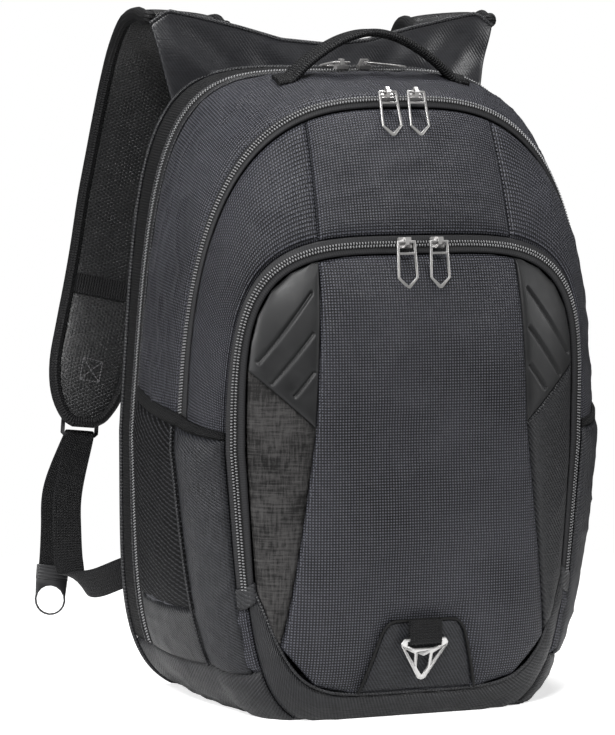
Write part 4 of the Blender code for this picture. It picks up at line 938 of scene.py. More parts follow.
def fabric(name, dark, light, pattern, roughness, relief, stitches=(), specular=0.3):
    """Cloth: a woven pattern between two colours, broad tone changes, thread dashes and the relief of all. In
    the dobby, the light colour on the raised squares is partly the weave and partly painted sheen.
    """
    made, tree, shader = start_material(name, roughness)
    shader.inputs["Specular IOR Level"].default_value = specular
    uv, u, v = uv_axes(tree, "cloth")
    _, edge_u, edge_v = uv_axes(tree, "edge")
    height = pattern(tree, uv, u, v)
    # The raised weave takes the light colour; in the dobby this is partly painted sheen.
    colour = mix_colour(tree, height, dark, light)
    place = add(tree, "ShaderNodeTexCoord").outputs["Object"]
    broad = ramp(tree, noise_value(tree, place, 14.0, 4.0, 0.6), 0.25, 0.75)
    worn = tuple(min(1, c * 1.1 + 0.002) for c in light)
    colour = mix_colour(tree, calc(tree, "MULTIPLY", broad, 0.22), colour, worn)
    for map_axis, inset in stitches:
        along, across = (u, edge_v) if map_axis == "v" else (v, edge_u)
        mask = stitch_mask(tree, along, across, inset)
        dusty = tuple(c * 1.6 + 0.01 for c in light)
        colour = mix_colour(tree, calc(tree, "MULTIPLY", mask, 0.30), colour, dusty)
        height = calc(tree, "MAXIMUM", height, calc(tree, "MULTIPLY", mask, 1.6))
    fine = noise_value(tree, place, 2200.0, 2.0)
    total = calc(tree, "MULTIPLY_ADD", fine, 0.22, height)
    bump = add(tree, "ShaderNodeBump", {"Strength": 1.0, "Distance": relief, "Height": total})
    tree.links.new(colour, shader.inputs["Base Color"])
    tree.links.new(bump.outputs[0], shader.inputs["Normal"])
    rough = ramp(tree, noise_value(tree, place, 60.0, 3.0), 0.2, 0.8)
    tree.links.new(calc(tree, "MULTIPLY_ADD", rough, 0.14, roughness - 0.07), shader.inputs["Roughness"])
    return made


# Pitches of the weaves, in metres
DOBBY_PITCH = 0.0042
TWILL_PITCH = 0.0026
WEB_PITCH = 0.0021
HERRINGBONE = 0.0060
TAPE_PITCH = 0.0018
NET_CORDS = 0.0042
NET_THREADS = 0.0030


def dobby_pattern(tree, uv, u, v):
    """Small raised squares in rows. In the dobby they take the light colour, which is partly the weave and
    partly painted sheen.
    """
    first, second = wave(tree, u, DOBBY_PITCH), wave(tree, v, DOBBY_PITCH)
    squares = calc(tree, "MULTIPLY", calc(tree, "ABSOLUTE", first), calc(tree, "ABSOLUTE", second))
    return calc(tree, "POWER", ramp(tree, squares, 0.22, 0.80), 1.5)


def plain_pattern(tree, uv, u, v):
    """A fine twill whose ribs run slantwise."""
    threads = wave(tree, calc(tree, "MULTIPLY_ADD", v, 0.7, u), TWILL_PITCH)
    slub = noise_value(tree, stretched(tree, uv, (90.0, 900.0, 1.0)), 1.0, 2.0)
    return ramp(tree, calc(tree, "MULTIPLY_ADD", threads, 0.26, slub), 0.15, 0.85)


def heather_pattern(tree, uv, u, v):
    """Slubs of mixed thread that run across and along."""
    flat = noise_value(tree, stretched(tree, uv, (60.0, 620.0, 1.0)), 1.0, 3.0, 0.65)
    upright = noise_value(tree, stretched(tree, uv, (640.0, 80.0, 1.0)), 1.0, 3.0, 0.65)
    patches = noise_value(tree, uv, 34.0, 2.0)
    both = calc(tree, "MULTIPLY_ADD", flat, 0.5, calc(tree, "MULTIPLY", upright, 0.5))
    both = calc(tree, "MULTIPLY_ADD", calc(tree, "SUBTRACT", patches, 0.5), 0.28, both)
    return ramp(tree, both, 0.41, 0.60)


def web_pattern(tree, uv, u, v):
    """Ribs across the tape with a fine herringbone in them."""
    zigzag = calc(tree, "ABSOLUTE", wave(tree, v, HERRINGBONE))
    slanted = calc(tree, "ADD", u, calc(tree, "MULTIPLY", zigzag, 0.0007))
    ribs = calc(tree, "MULTIPLY_ADD", wave(tree, slanted, WEB_PITCH), 0.5, 0.5)
    return calc(tree, "MULTIPLY", ribs, ramp(tree, wave(tree, v, 0.0014), -1.4, 0.2))


def tape_pattern(tree, uv, u, v):
    """Black under the teeth and woven in fine ribs beside them."""
    beside_teeth = ramp(tree, calc(tree, "ABSOLUTE", v), 0.0024, 0.0031)
    ribs = calc(tree, "MULTIPLY_ADD", wave(tree, u, TAPE_PITCH), 0.25, 0.75)
    return calc(tree, "MULTIPLY", beside_teeth, ribs)


def net_pattern(tree, uv, u, v):
    """Slanting cords with smaller threads across them."""
    cords = wave(tree, calc(tree, "MULTIPLY_ADD", v, 0.36, u), NET_CORDS)
    threads = wave(tree, calc(tree, "MULTIPLY_ADD", v, -0.30, u), NET_THREADS)
    return ramp(tree, calc(tree, "MULTIPLY_ADD", threads, 0.35, cords), -0.1, 1.2)


def air_pattern(tree, uv, u, v):
    """Spacer mesh with rows of small round holes."""
    one = wave(tree, calc(tree, "MULTIPLY_ADD", v, 0.577, u), 0.0030)
    two = wave(tree, calc(tree, "MULTIPLY_ADD", v, -0.577, u), 0.0030)
    three = wave(tree, v, 0.0026)
    total = calc(tree, "ADD", calc(tree, "ADD", one, two), three)
    return ramp(tree, total, 1.3, -0.2)


def grained(name, dark, light, roughness, relief, scale, metallic=0.0, detail=5.0):
    """Moulded, coated or cast material: a fine grain, broad smudges and brighter edges, partly wear and
    partly painted highlight.
    """
    made, tree, shader = start_material(name, roughness, metallic)
    place = add(tree, "ShaderNodeTexCoord").outputs["Object"]
    grain = noise_value(tree, place, scale, detail, 0.6)
    smudge = ramp(tree, noise_value(tree, place, 45.0, 4.0, 0.6), 0.3, 0.7)
    # Convex edges are painted lighter: partly wear, partly painted highlight where the edges catch the light.
    edges = ramp(tree, add(tree, "ShaderNodeNewGeometry").outputs["Pointiness"], 0.50, 0.58)
    colour = mix_colour(tree, calc(tree, "MULTIPLY", smudge, 0.5), dark, light)
    wear_and_highlight = tuple(min(1, c * 1.5 + 0.03) for c in light)
    colour = mix_colour(tree, calc(tree, "MULTIPLY", edges, 0.35), colour, wear_and_highlight)
    bump = add(tree, "ShaderNodeBump", {"Strength": 0.6, "Distance": relief, "Height": grain})
    tree.links.new(colour, shader.inputs["Base Color"])
    tree.links.new(bump.outputs[0], shader.inputs["Normal"])
    tree.links.new(calc(tree, "MULTIPLY_ADD", smudge, 0.16, roughness - 0.08), shader.inputs["Roughness"])
    return made


LOOKS = {
    # The dobby's light bluish colour on its raised squares is partly the weave and partly painted sheen on
    # near-black cloth.
    "dobby": fabric("dobby", (0.0001, 0.0001, 0.0002), (0.116, 0.118, 0.140), dobby_pattern,
                    0.40, 0.0018, (("v", 0.0026), ("u", 0.0026)), 0.25),
    "patch": fabric("patch", (0.0004, 0.0004, 0.0006), (0.028, 0.029, 0.034), plain_pattern,
                    0.46, 0.0005, (("u", 0.0030),)),
    "plain": fabric("plain", (0.0010, 0.0010, 0.0012), (0.020, 0.0205, 0.0235), plain_pattern,
                    0.42, 0.00050, specular=0.4),
    "heather": fabric("heather", (0.0004, 0.0004, 0.0004), (0.052, 0.0500, 0.0495), heather_pattern,
                      0.62, 0.00045, specular=0.2),
    "trim": grained("trim", (0.006, 0.0062, 0.0068), (0.011, 0.0113, 0.0124), 0.50, 0.0002, 1500.0),
    "mesh": fabric("mesh", (0.0006, 0.0006, 0.0007), (0.014, 0.0142, 0.0152), air_pattern,
                   0.46, 0.0010, specular=0.35),
    "gloss": fabric("gloss", (0.0004, 0.0004, 0.0005), (0.016, 0.0162, 0.0172), air_pattern,
                    0.33, 0.0009, specular=0.7),
    "net": fabric("net", (0.0001, 0.0001, 0.0001), (0.040, 0.0404, 0.044), net_pattern,
                  0.65, 0.0020, specular=0.1),
    "webbing": fabric("webbing", (0.0003, 0.0003, 0.0004), (0.013, 0.0132, 0.0148), web_pattern,
                      0.60, 0.0012, specular=0.25),
    "tape": fabric("tape", (0.0003, 0.0003, 0.0003), (0.020, 0.020, 0.022), tape_pattern, 0.60, 0.0002),
    "teeth": grained("teeth", (0.13, 0.13, 0.134), (0.24, 0.24, 0.245), 0.30, 0.00002, 900.0),
    "plastic": grained("plastic", (0.010, 0.010, 0.011), (0.022, 0.022, 0.024), 0.42, 0.00005, 2500.0),
    "gunmetal": grained("gunmetal", (0.30, 0.295, 0.29), (0.42, 0.41, 0.405), 0.34, 0.000002, 300.0, 0.55),
    "silver": grained("silver", (0.56, 0.55, 0.54), (0.74, 0.73, 0.72), 0.32, 0.000002, 300.0, 0.65),
    "satin": fabric("satin", (0.0070, 0.0071, 0.0082), (0.0210, 0.0215, 0.0250), plain_pattern,
                    0.36, 0.00012, specular=0.6),
    "thread": grained("thread", (0.05, 0.05, 0.052), (0.09, 0.09, 0.094), 0.50, 0.00005, 900.0),
}
NODE_LOOK = {
    "strap": "gloss", "loop_patch": "patch", "side_pocket_cloth": "patch", "yoke": "satin",
    "side_pocket_mesh": "net", "rear_gusset": "webbing",
}

# How each kind of piece is smoothed: levels of subdivision, or the width of its rounded edges in metres
SMOOTHED = {
    "handle": 2, "strap": 2, "strap_keeper": 1, "buckle_loop": 1, "adjuster": 2, "ring_loop": 1, "yoke": 1,
}
ROUNDED = {"ladder_lock": 0.0007, "pull_tab": 0.0005, "triangle_ring": 0.0009}
MOVING = set(frame["bodies"]) - {"bag"}


def base_name(name):
    return name[:-2] if name[-2:] in ("_L", "_R") else name


def dress(name, mesh, kind, node=True):
    """A finished piece from a mesh in the frame's own place."""
    base = base_name(name)
    kind = NODE_LOOK.get(base, kind)
    mesh.materials.clear()
    mesh.materials.append(LOOKS[kind])
    made = bpy.data.objects.new("look_" + name, mesh)
    bpy.context.scene.collection.objects.link(made)
    for polygon in mesh.polygons:
        polygon.use_smooth = True
    if base in SMOOTHED:
        smooth = made.modifiers.new("smooth", "SUBSURF")
        smooth.levels = smooth.render_levels = SMOOTHED[base]
    round_by = 0.00065 if "puller" in base else ROUNDED.get(base)
    if round_by:
        bevel = made.modifiers.new("edges", "BEVEL")
        bevel.width, bevel.segments, bevel.limit_method = round_by, 3, "ANGLE"
    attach(made, name if name in MOVING else "bag")
    if node:
        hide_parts(name)
    return made


def new_object(name, mesh, kind, place=None, node=True):
    if place is not None:
        mesh.transform(place)
    mesh.transform(Matrix.Translation((0, SHIFT, 0)))
    return dress(name, mesh, kind, node)


def new_mesh(name, points, faces, cloth=None, edge=None):
    mesh = bpy.data.meshes.new(name)
    mesh.from_pydata(np.asarray(points, float).tolist(), [], faces)
    mesh.update()
    corners = np.empty(len(mesh.loops), dtype=np.int64)
    mesh.loops.foreach_get("vertex_index", corners)
    flat = np.asarray(points, float)[:, [0, 2]] if cloth is None else cloth
    edge = np.full((len(points), 2), 1.0) if edge is None else edge
    for label, values in (("cloth", flat), ("edge", edge)):
        layer = mesh.uv_layers.new(name=label)
        layer.data.foreach_set("uv", np.asarray(values, float)[corners].astype(np.float32).ravel())
    return mesh


def panel_mesh(name, outer, inner, cloth, edge=None):
    """A solid between two grids, with the weave's place and the distances from the edges on both."""
    maps = [None if values is None else np.tile(values.reshape(-1, 2), (2, 1)) for values in (cloth, edge)]
    return new_mesh(name, *grid_solid(outer, inner), *maps)


def pairs(rows, columns):
    """Each row's value with each column's, as a grid."""
    return np.stack(np.broadcast_arrays(rows[:, None], columns[None]), axis=-1)


def mirrored(source, name, node=True):
    """The same piece on the other side of the bag."""
    mesh = source.data.copy()
    mesh.transform(Matrix.Scale(-1, 4, (1, 0, 0)))
    mesh.flip_normals()
    kind = source.data.materials[0].name.replace("look_", "")
    return dress(name, mesh, kind, node)


def both_sides(name, make, node=True):
    right = make(name + "_R")
    return right, mirrored(right, name + "_L", node)


# Folds and seams of the cloth

# Height of the soft folds, their size, how much longer they run along each axis, and the puff between seams
Folds = namedtuple("Folds", "height size stretch_x stretch_y stretch_z puff")
FOLDS = {
    "main_gusset": Folds(0.0036, 0.034, 1.0, 0.8, 1.5, 0.0024),
    "rear_gusset": Folds(0.0006, 0.030, 1.0, 1.0, 1.0, 0.0006),
    "upper_panel_centre": Folds(0.0028, 0.045, 1.8, 1.0, 0.7, 0.0022),
    "upper_panel": Folds(0.0034, 0.040, 1.2, 1.0, 0.9, 0.0022),
    "pocket_panel_centre": Folds(0.0026, 0.070, 1.8, 1.0, 1.2, 0.0026),
    "pocket_side": Folds(0.0028, 0.045, 0.9, 1.0, 1.6, 0.0020),
    "pocket_trim": Folds(0.0004, 0.060, 1.0, 1.0, 1.0, 0.0005),
    "base_panel": Folds(0.0026, 0.030, 1.6, 1.6, 0.8, 0.0014),
    "front_hem": Folds(0.0030, 0.032, 2.0, 1.0, 0.7, 0.0016),
    "side_pocket_mesh": Folds(0.0022, 0.036, 1.0, 1.0, 1.0, 0.0010),
    "side_pocket_cloth": Folds(0.0028, 0.034, 1.0, 1.3, 1.0, 0.0014),
    "side_pocket_foot": Folds(0.0024, 0.030, 1.0, 1.4, 0.8, 0.0012),
    "side_pocket_band": Folds(0.0005, 0.050, 1.0, 1.0, 1.0, 0.0006),
    "loop_patch": Folds(0.0004, 0.030, 1.0, 1.0, 1.0, 0.0008),
}

# The cloth's grid, the finer one of the trims, and how deep a seam is tucked
SPACING = 0.0032
TRIM_SPACING = 0.0009
SEAM_TUCK = 0.0018

# How far from a seam its tuck, the puff and the folds reach, and how far round the patch the pocket lies flat
TUCK_REACH = 0.0022
PUFF_REACH = 0.010
FOLD_REACH = 0.012
PATCH_CALM = 0.012

# How deep the trims' slots are and how high their rims
SLOT_SINK = 0.0022
SLOT_RIM = 0.00025


def fold_heights(points, folds):
    """Soft creases: two sizes of noise, the larger folded into ridges."""
    scale = np.array([1 / folds.stretch_x, 1 / folds.stretch_y, 1 / folds.stretch_z]) / folds.size
    flat = points.reshape(-1, 3) * scale
    found = np.empty(len(flat))
    for number, p in enumerate(flat.tolist()):
        broad = noise.noise((p[0], p[1], p[2]))
        ridge = 1 - abs(noise.noise((p[0] * 1.7 + 5.2, p[1] * 1.7, p[2] * 1.7 + 1.3))) * 2.4
        fine = noise.noise((p[0] * 4.1, p[1] * 4.1 + 3.1, p[2] * 4.1))
        found[number] = 0.60 * broad + 0.42 * max(ridge, 0) ** 2 - 0.18 + 0.16 * fine
    return found.reshape(points.shape[:-1]) * folds.height


def arc_shares(points, axis, spacing):
    """Index positions at even distances along one axis of a grid, and their distances from the start."""
    lengths = np.linalg.norm(np.diff(points, axis=axis), axis=-1).mean(axis=1 - axis)
    reached = np.concatenate([[0], np.cumsum(lengths)])
    even = np.linspace(0, reached[-1], max(3, int(math.ceil(reached[-1] / spacing)) + 1))
    return np.interp(even, reached, np.arange(len(reached))), even


def resample(values, rows, columns):
    values = np.asarray(values, float)
    known = np.arange(values.shape[0])
    along = np.stack([np.interp(rows, known, values[:, k]) for k in range(values.shape[1])], axis=1)
    return np.stack([np.interp(columns, np.arange(values.shape[1]), line) for line in along])


def slot_depth(across, height):
    """How far the trims' slots sink, by the distance from each slot's middle line."""
    depth = np.zeros(across.shape)
    for slot in SLOTS:
        start = np.array([slot.inner_across * HALF_WIDTH, slot.inner_height * BAG_HEIGHT])
        end = np.array([slot.outer_across * HALF_WIDTH, slot.outer_height * BAG_HEIGHT])
        place = np.stack([np.abs(across), height], axis=-1) - start
        share = np.clip(place @ (end - start) / np.dot(end - start, end - start), 0, 1)
        away = np.linalg.norm(place - share[..., None] * (end - start), axis=-1)
        inside = np.clip(1.25 - away / (SLOT_WIDTH * 0.62), 0, 1)
        rim = np.exp(-((away - SLOT_WIDTH) / (SLOT_WIDTH * 0.35)) ** 2)
        depth = np.maximum(depth, inside * inside * (3 - 2 * inside) * SLOT_SINK) - rim * SLOT_RIM
    return depth


def beyond_patch(across, height):
    """Nothing where the loop's patch lies over the pocket, and 1 from a little way outside it."""
    low, high = POCKET_SEAM_HEIGHT, LOOP_TOP
    aside = np.abs(across) - patch_half(np.clip(height, low, high), low, high)
    share = np.clip(np.maximum(aside, height - high) / PATCH_CALM, 0, 1)
    return share * share * (3 - 2 * share)


def cloth_sheet(name, points, normals, wall, kind, lift, u, v, flat):
    """A panel with its folds: it dips at its seams and puffs a little between them."""
    folds = FOLDS[base_name(name)]
    edge_u = np.minimum(u, u[-1] - u)[:, None] + 0 * v[None]
    edge_v = np.minimum(v, v[-1] - v)[None] + 0 * u[:, None]
    near = np.minimum(edge_u, edge_v)
    free = 1 - np.exp(-near / FOLD_REACH)
    height = fold_heights(points, folds) * free + folds.puff * (1 - np.exp(-near / PUFF_REACH))
    height -= SEAM_TUCK * np.exp(-near / TUCK_REACH)
    if base_name(name) == "pocket_trim":
        height -= slot_depth(flat[..., 0], flat[..., 1])
    if name == "pocket_panel_centre":
        height *= beyond_patch(points[..., 0], points[..., 2])
    outer = inset_borders(points) + normals * (lift + height)[..., None]
    outer[..., 2] = np.maximum(outer[..., 2], 0.0)
    inner = outer - normals * wall
    inner[..., 2] = np.maximum(inner[..., 2], 0.0004)
    edge = np.stack([edge_u, edge_v], axis=-1)
    mesh = panel_mesh(name, outer, inner, pairs(u, v) if flat is None else flat, edge)
    return new_object(name, mesh, kind)


def surface_sheet(name, angles, depths, wall, kind, lift=0.0):
    angles, depths = np.broadcast_arrays(np.asarray(angles, float), np.asarray(depths, float))
    lift = np.broadcast_to(np.asarray(lift, float), angles.shape)
    coarse = surface(angles, depths)
    rows, u = arc_shares(coarse, 0, SPACING)
    columns, v = arc_shares(coarse, 1, SPACING)
    angles, depths, lift = (resample(grid_values, rows, columns) for grid_values in (angles, depths, lift))
    points, normals = surface(angles, depths), surface_normal(angles, depths)
    return cloth_sheet(name, points, normals, wall, kind, lift, u, v, None)


def face_sheet(name, across, height, wall, kind, lift=0.0):
    across, height = np.broadcast_arrays(np.asarray(across, float), np.asarray(height, float))
    spacing = TRIM_SPACING if base_name(name) == "pocket_trim" else SPACING
    coarse = face_point(across, height)
    rows, u = arc_shares(coarse, 0, spacing)
    columns, v = arc_shares(coarse, 1, spacing)
    across, height = resample(across, rows, columns), resample(height, rows, columns)
    lift = np.full(across.shape, float(lift))
    flat = np.stack([across, height], axis=-1)
    points, normals = face_point(across, height), face_normal(across, height)
    return cloth_sheet(name, points, normals, wall, kind, lift, u, v, flat)


# How far in from each end, in rows, a sweep gets a further section so that smoothing keeps its ends
HOLD_END = 0.04


def resample_rows(values, rows):
    """Values of a table between its rows, at places counted in rows."""
    flat = values.reshape(len(values), -1)
    found = np.stack([np.interp(rows, np.arange(len(values)), column) for column in flat.T], axis=1)
    return found.reshape(len(rows), *values.shape[1:])


def sweep_mesh(name, centres, hints, sections, closed=False):
    """A solid through sections, with the distance along it and across it for the weave."""
    centres, hints, sections = np.array(centres, float), np.array(hints, float), np.array(sections, float)
    if not closed:
        last = len(centres) - 1
        held = np.concatenate([[0, HOLD_END], np.arange(1, last), [last - HOLD_END, last]])
        centres, hints = resample_rows(centres, held), resample_rows(hints, held)
        sections = resample_rows(sections, held)
    before, after = np.roll(centres, 1, axis=0), np.roll(centres, -1, axis=0)
    if not closed:
        before[0], after[-1] = centres[0], centres[-1]
    along = unit(after - before)
    width = unit(hints - along * np.sum(hints * along, axis=1, keepdims=True))
    face = np.cross(along, width)
    points = (centres[:, None] + width[:, None] * sections[:, :, :1] + face[:, None] * sections[:, :, 1:])
    rings, sides = points.shape[:2]
    faces = []
    for i in range(rings if closed else rings - 1):
        j = (i + 1) % rings
        for k in range(sides):
            m = (k + 1) % sides
            faces.append((i * sides + k, i * sides + m, j * sides + m, j * sides + k))
    if not closed:
        faces.append(tuple(range(sides))[::-1])
        faces.append(tuple((rings - 1) * sides + k for k in range(sides)))
    reached = np.concatenate([[0], np.cumsum(np.linalg.norm(np.diff(centres, axis=0), axis=1))])
    cloth = np.stack([np.repeat(reached[:, None], sides, axis=1), sections[:, :, 0]], axis=-1).reshape(-1, 2)
    half = sections[:, :, 0].max(axis=1)[:, None]
    edge = np.stack([np.ones((rings, sides)), half - np.abs(sections[:, :, 0])], axis=-1).reshape(-1, 2)
    return new_mesh(name, points.reshape(-1, 3), faces, cloth, edge)


def band_section(width, thickness):
    """A ribbon's section with held edges, so that it stays flat when it is smoothed."""
    half, thin, hold = width / 2, thickness / 2, thickness * 0.6
    return [(-half, -thin * 0.6), (-half + hold, -thin), (0, -thin),
            (half - hold, -thin), (half, -thin * 0.6),
            (half, thin * 0.6), (half - hold, thin), (0, thin), (-half + hold, thin), (-half, thin * 0.6)]


def tube(name, path, radius, kind, hints=None, closed=False, sides=8):
    turns = [2 * math.pi * k / sides for k in range(sides)]
    section = [(radius * math.cos(a), radius * math.sin(a)) for a in turns]
    hints = np.tile([0.13, 0.97, 0.21], (len(path), 1)) if hints is None else hints
    mesh = sweep_mesh(name, path, hints, [section] * len(path), closed)
    return new_object(name, mesh, kind, node=False)


# Zips: the steps along the tape, and each tooth's size and place beside the middle and above the cloth

BEAD_RINGS, BEAD_SIDES = 4, 6
TOOTH_PITCH = 0.0022
TOOTH_LENGTH = 0.00060
TOOTH_WIDTH = 0.00120
TOOTH_HEIGHT = 0.00075
TOOTH_ASIDE = 0.00125
TOOTH_RISE = 0.0014
TAPE_STEP = 0.003

# The tape's section: shares of its width and heights in millimetres, with the low coil in the middle
TAPE_SHARES = np.array([-0.5, -0.38, -0.25, -0.21, -0.17, -0.08, 0, 0.08, 0.17, 0.21, 0.25, 0.38, 0.5])
TAPE_HEIGHTS = np.array([0.0, 0.3, 0.3, 0.5, 1.0, 1.2, 0.8, 1.2, 1.0, 0.5, 0.3, 0.3, 0.0])


def bead():
    """A low round tooth with a unit radius."""
    points, faces = [(0, 0, -1)], []
    for ring in range(1, BEAD_RINGS):
        angle = math.pi * ring / BEAD_RINGS
        points += [(math.sin(angle) * math.cos(2 * math.pi * k / BEAD_SIDES),
                    math.sin(angle) * math.sin(2 * math.pi * k / BEAD_SIDES), -math.cos(angle))
                   for k in range(BEAD_SIDES)]
    points.append((0, 0, 1))
    last = len(points) - 1
    for k in range(BEAD_SIDES):
        m = (k + 1) % BEAD_SIDES
        faces.append((0, 1 + m, 1 + k))
        for ring in range(BEAD_RINGS - 2):
            a, b = 1 + ring * BEAD_SIDES, 1 + (ring + 1) * BEAD_SIDES
            faces.append((a + k, a + m, b + m, b + k))
        faces.append((last, last - BEAD_SIDES + k, last - BEAD_SIDES + m))
    return np.array(points), faces


def make_zip(name, rim, end_angle):
    """The tape with its woven edges, a low coil under the teeth, and two rows of teeth."""
    clear_end = end_angle + (3 * STEP if end_angle > BASE_ANGLE else 0)
    dense = np.linspace(clear_end, math.pi - clear_end, 1500)
    line = surface(dense, float(rim))
    reached = np.concatenate([[0], np.cumsum(np.linalg.norm(np.diff(line, axis=0), axis=1))])
    angles = np.interp(np.arange(0, reached[-1], TAPE_STEP), reached, dense)
    depths = np.stack([beside(angles, rim, share * ZIP_WIDTH) for share in TAPE_SHARES], axis=1)
    wide = np.repeat(angles[:, None], len(TAPE_SHARES), axis=1)
    points, normals = inset_borders(surface(wide, depths)), surface_normal(wide, depths)
    outer, inner = points + normals * (TAPE_HEIGHTS * 0.001)[:, None], points - normals * CLOTH
    cloth = pairs(np.arange(len(angles)) * TAPE_STEP, TAPE_SHARES * ZIP_WIDTH)
    edge = pairs(np.ones(len(angles)), ZIP_WIDTH / 2 - np.abs(TAPE_SHARES * ZIP_WIDTH))
    new_object(name, panel_mesh(name, outer, inner, cloth, edge), "tape")
    shape, shape_faces = bead()
    all_points, all_faces, count = [], [], 0
    for row, side in enumerate((-1, 1)):
        places = np.arange(TOOTH_PITCH * (1 + row * 0.5), reached[-1] - TOOTH_PITCH, TOOTH_PITCH)
        spots = np.interp(places, reached, dense)
        depth = beside(spots, rim, side * TOOTH_ASIDE)
        middle, normal = surface(spots, depth), surface_normal(spots, depth)
        ahead = unit(surface(spots + 1e-3, float(rim)) - surface(spots - 1e-3, float(rim)))
        across = np.cross(normal, ahead)
        skew = unit(ahead + across * 0.25 * side)
        for centre, out, forward, sideways in zip(middle + normal * TOOTH_RISE, normal, skew, across):
            tooth = centre + shape[:, :1] * forward * TOOTH_LENGTH
            tooth = tooth + shape[:, 1:2] * sideways * TOOTH_WIDTH + shape[:, 2:] * out * TOOTH_HEIGHT
            all_points.append(tooth)
            all_faces += [tuple(n + count for n in face) for face in shape_faces]
            count += len(shape)
    mesh = new_mesh(name + "_teeth", np.concatenate(all_points), all_faces)
    new_object(name + "_teeth", mesh, "teeth", node=False)


# Pieces with a shape of their own here

# The back's cross channels: their heights, the half widths of the upright one and of these, and the
# pad's depths between them
CHANNELS = (0.150, 0.300)
CHANNEL_HALF = 0.011
CROSS_HALF = 0.008
PAD_REST = -0.0035
PAD_PUFF = 0.0055
PAD_EDGE = 0.012


def make_back_panel():
    """Padded spacer mesh with a middle channel and two cross channels."""
    angles = np.linspace(0, 2 * math.pi, 241)
    spreads = np.linspace(0.004, 1, 60)
    inset = CLOTH + SEAM_GAP + LIFT_OFF + 0.0006
    rim = surface(angles, beside(angles, BACK, BACK_PAD))
    centre = np.array([0, 0, BELLY_HEIGHT])
    inward = surface_normal(angles, beside(angles, BACK, BACK_PAD)) * inset
    flat = (rim - inward - centre) * np.array([1, 0, 1])
    points = centre + flat[:, None] * spreads[None, :, None]
    points[..., 2] = np.maximum(points[..., 2], inset)
    x, z = points[..., 0], points[..., 2]
    border = (1 - spreads)[None, :] * np.linalg.norm(flat, axis=1)[:, None]
    channel = np.exp(-(x / CHANNEL_HALF) ** 2)
    for height in CHANNELS:
        channel = np.maximum(channel, np.exp(-((z - height - 0.10 * np.abs(x)) / CROSS_HALF) ** 2))
    pad = (1 - np.exp(-border / PAD_EDGE)) * (1 - 0.85 * channel)
    outer, inner = points.copy(), points.copy()
    outer[..., 1] = PAD_REST + PAD_PUFF * pad
    inner[..., 1] = -BACK_PAD
    edge = np.stack([np.ones(x.shape), border], axis=-1)
    mesh = panel_mesh("back_panel", inner, outer, np.stack([x, z], axis=-1), edge)
    return new_object("back_panel", mesh, "mesh")


# Radius of the patch's top corners
PATCH_CORNER = 0.012


def patch_half(height, low, high):
    """Half of the patch's width at a height, with its top corners rounded."""
    straight = (PATCH_FOOT_WIDTH + (PATCH_TOP_WIDTH - PATCH_FOOT_WIDTH) * (height - low) / (high - low)) / 2
    share = np.clip((height - high + PATCH_CORNER) / PATCH_CORNER, 0, 1)
    return straight - PATCH_CORNER * 0.6 * (1 - np.sqrt(1 - share * share))


def make_loop_patch():
    """The patch behind the ring and the cord sewn round its sides and its top."""
    low, high = POCKET_SEAM_HEIGHT + PATCH_MARGIN, LOOP_TOP - PATCH_MARGIN
    heights = np.linspace(low, high, 40)
    across = np.linspace(-1, 1, 9)[:, None] * patch_half(heights, low, high)[None]
    height = np.maximum(heights[None], foot_height(across) + PATCH_MARGIN / 2)
    face_sheet("loop_patch", across, height, PATCH_WALL, "dobby", PATCH_WALL + LIFT_OFF)
    half = across[-1]
    top = np.linspace(-half[-1], half[-1], 16)[1:-1]
    x = np.concatenate([-half, top, half[::-1]])
    z = np.concatenate([height[0], np.full(len(top), high), height[-1][::-1]])
    line = face_point(x, z) + face_normal(x, z) * (PATCH_WALL + LIFT_OFF)
    tube("loop_patch_cord", line, SEAM_CORD, "tape")


def make_handle():
    """Webbing folded into two rolls with a sewn groove between them, on flat feet."""
    depth = REAR + HANDLE_SHARE
    end = float(angle_across(HANDLE_SPAN / 2, depth))
    feet = np.array([end, end + HANDLE_FOOT / 2, end + HANDLE_FOOT])
    lift = SEAM_GAP + LIFT_OFF + HANDLE_THICKNESS / 2
    foot = surface(feet, depth) + surface_normal(feet, depth) * lift
    slope = unit(surface(feet, depth - 0.1) - surface(feet, depth + 0.1))
    top = surface(math.pi / 2, depth)[2] + HANDLE_RISE + HANDLE_THICKNESS / 2
    arch, hints = [], []
    for share in (0.16, 0.36, 0.60, 0.82):
        rise = math.sin(share * math.pi / 2) ** 0.9
        arch.append([foot[-1, 0] * (1 - share), foot[-1, 1], foot[-1, 2] + (top - foot[-1, 2]) * rise])
        hints.append(slope[-1] * (1 - share) + np.array([0, 1, 0]) * share)
    right = np.concatenate([foot, arch])
    right_hints = np.concatenate([slope, hints])
    flip = np.array([-1, 1, 1])
    path = np.concatenate([right, [[0, foot[-1, 1], top]], right[::-1] * flip])
    hints = np.concatenate([right_hints, [[0, 1, 0]], right_hints[::-1] * flip])
    rows = smooth_path(np.concatenate([path, hints], axis=1), 5)
    half, roll = HANDLE_WIDTH / 2, HANDLE_THICKNESS / 2
    outline = [(-1.0, 0.0), (-0.88, 0.8), (-0.5, 1.1), (-0.14, 0.8), (0.0, 0.25), (0.14, 0.8), (0.5, 1.1),
               (0.88, 0.8), (1.0, 0.0), (0.88, -0.8), (0.5, -1.1), (0.14, -0.8), (0.0, -0.4), (-0.14, -0.8),
               (-0.5, -1.1), (-0.88, -0.8)]
    section = [(x * half, -y * roll) for x, y in outline]
    new_object("handle", sweep_mesh("handle", rows[:, :3], rows[:, 3:], [section] * len(rows)), "webbing")


# The height of the yoke's folds, and how much narrower it is at its foot as a share of its width
YOKE_FOLD = 0.0021
YOKE_NARROW = 0.13


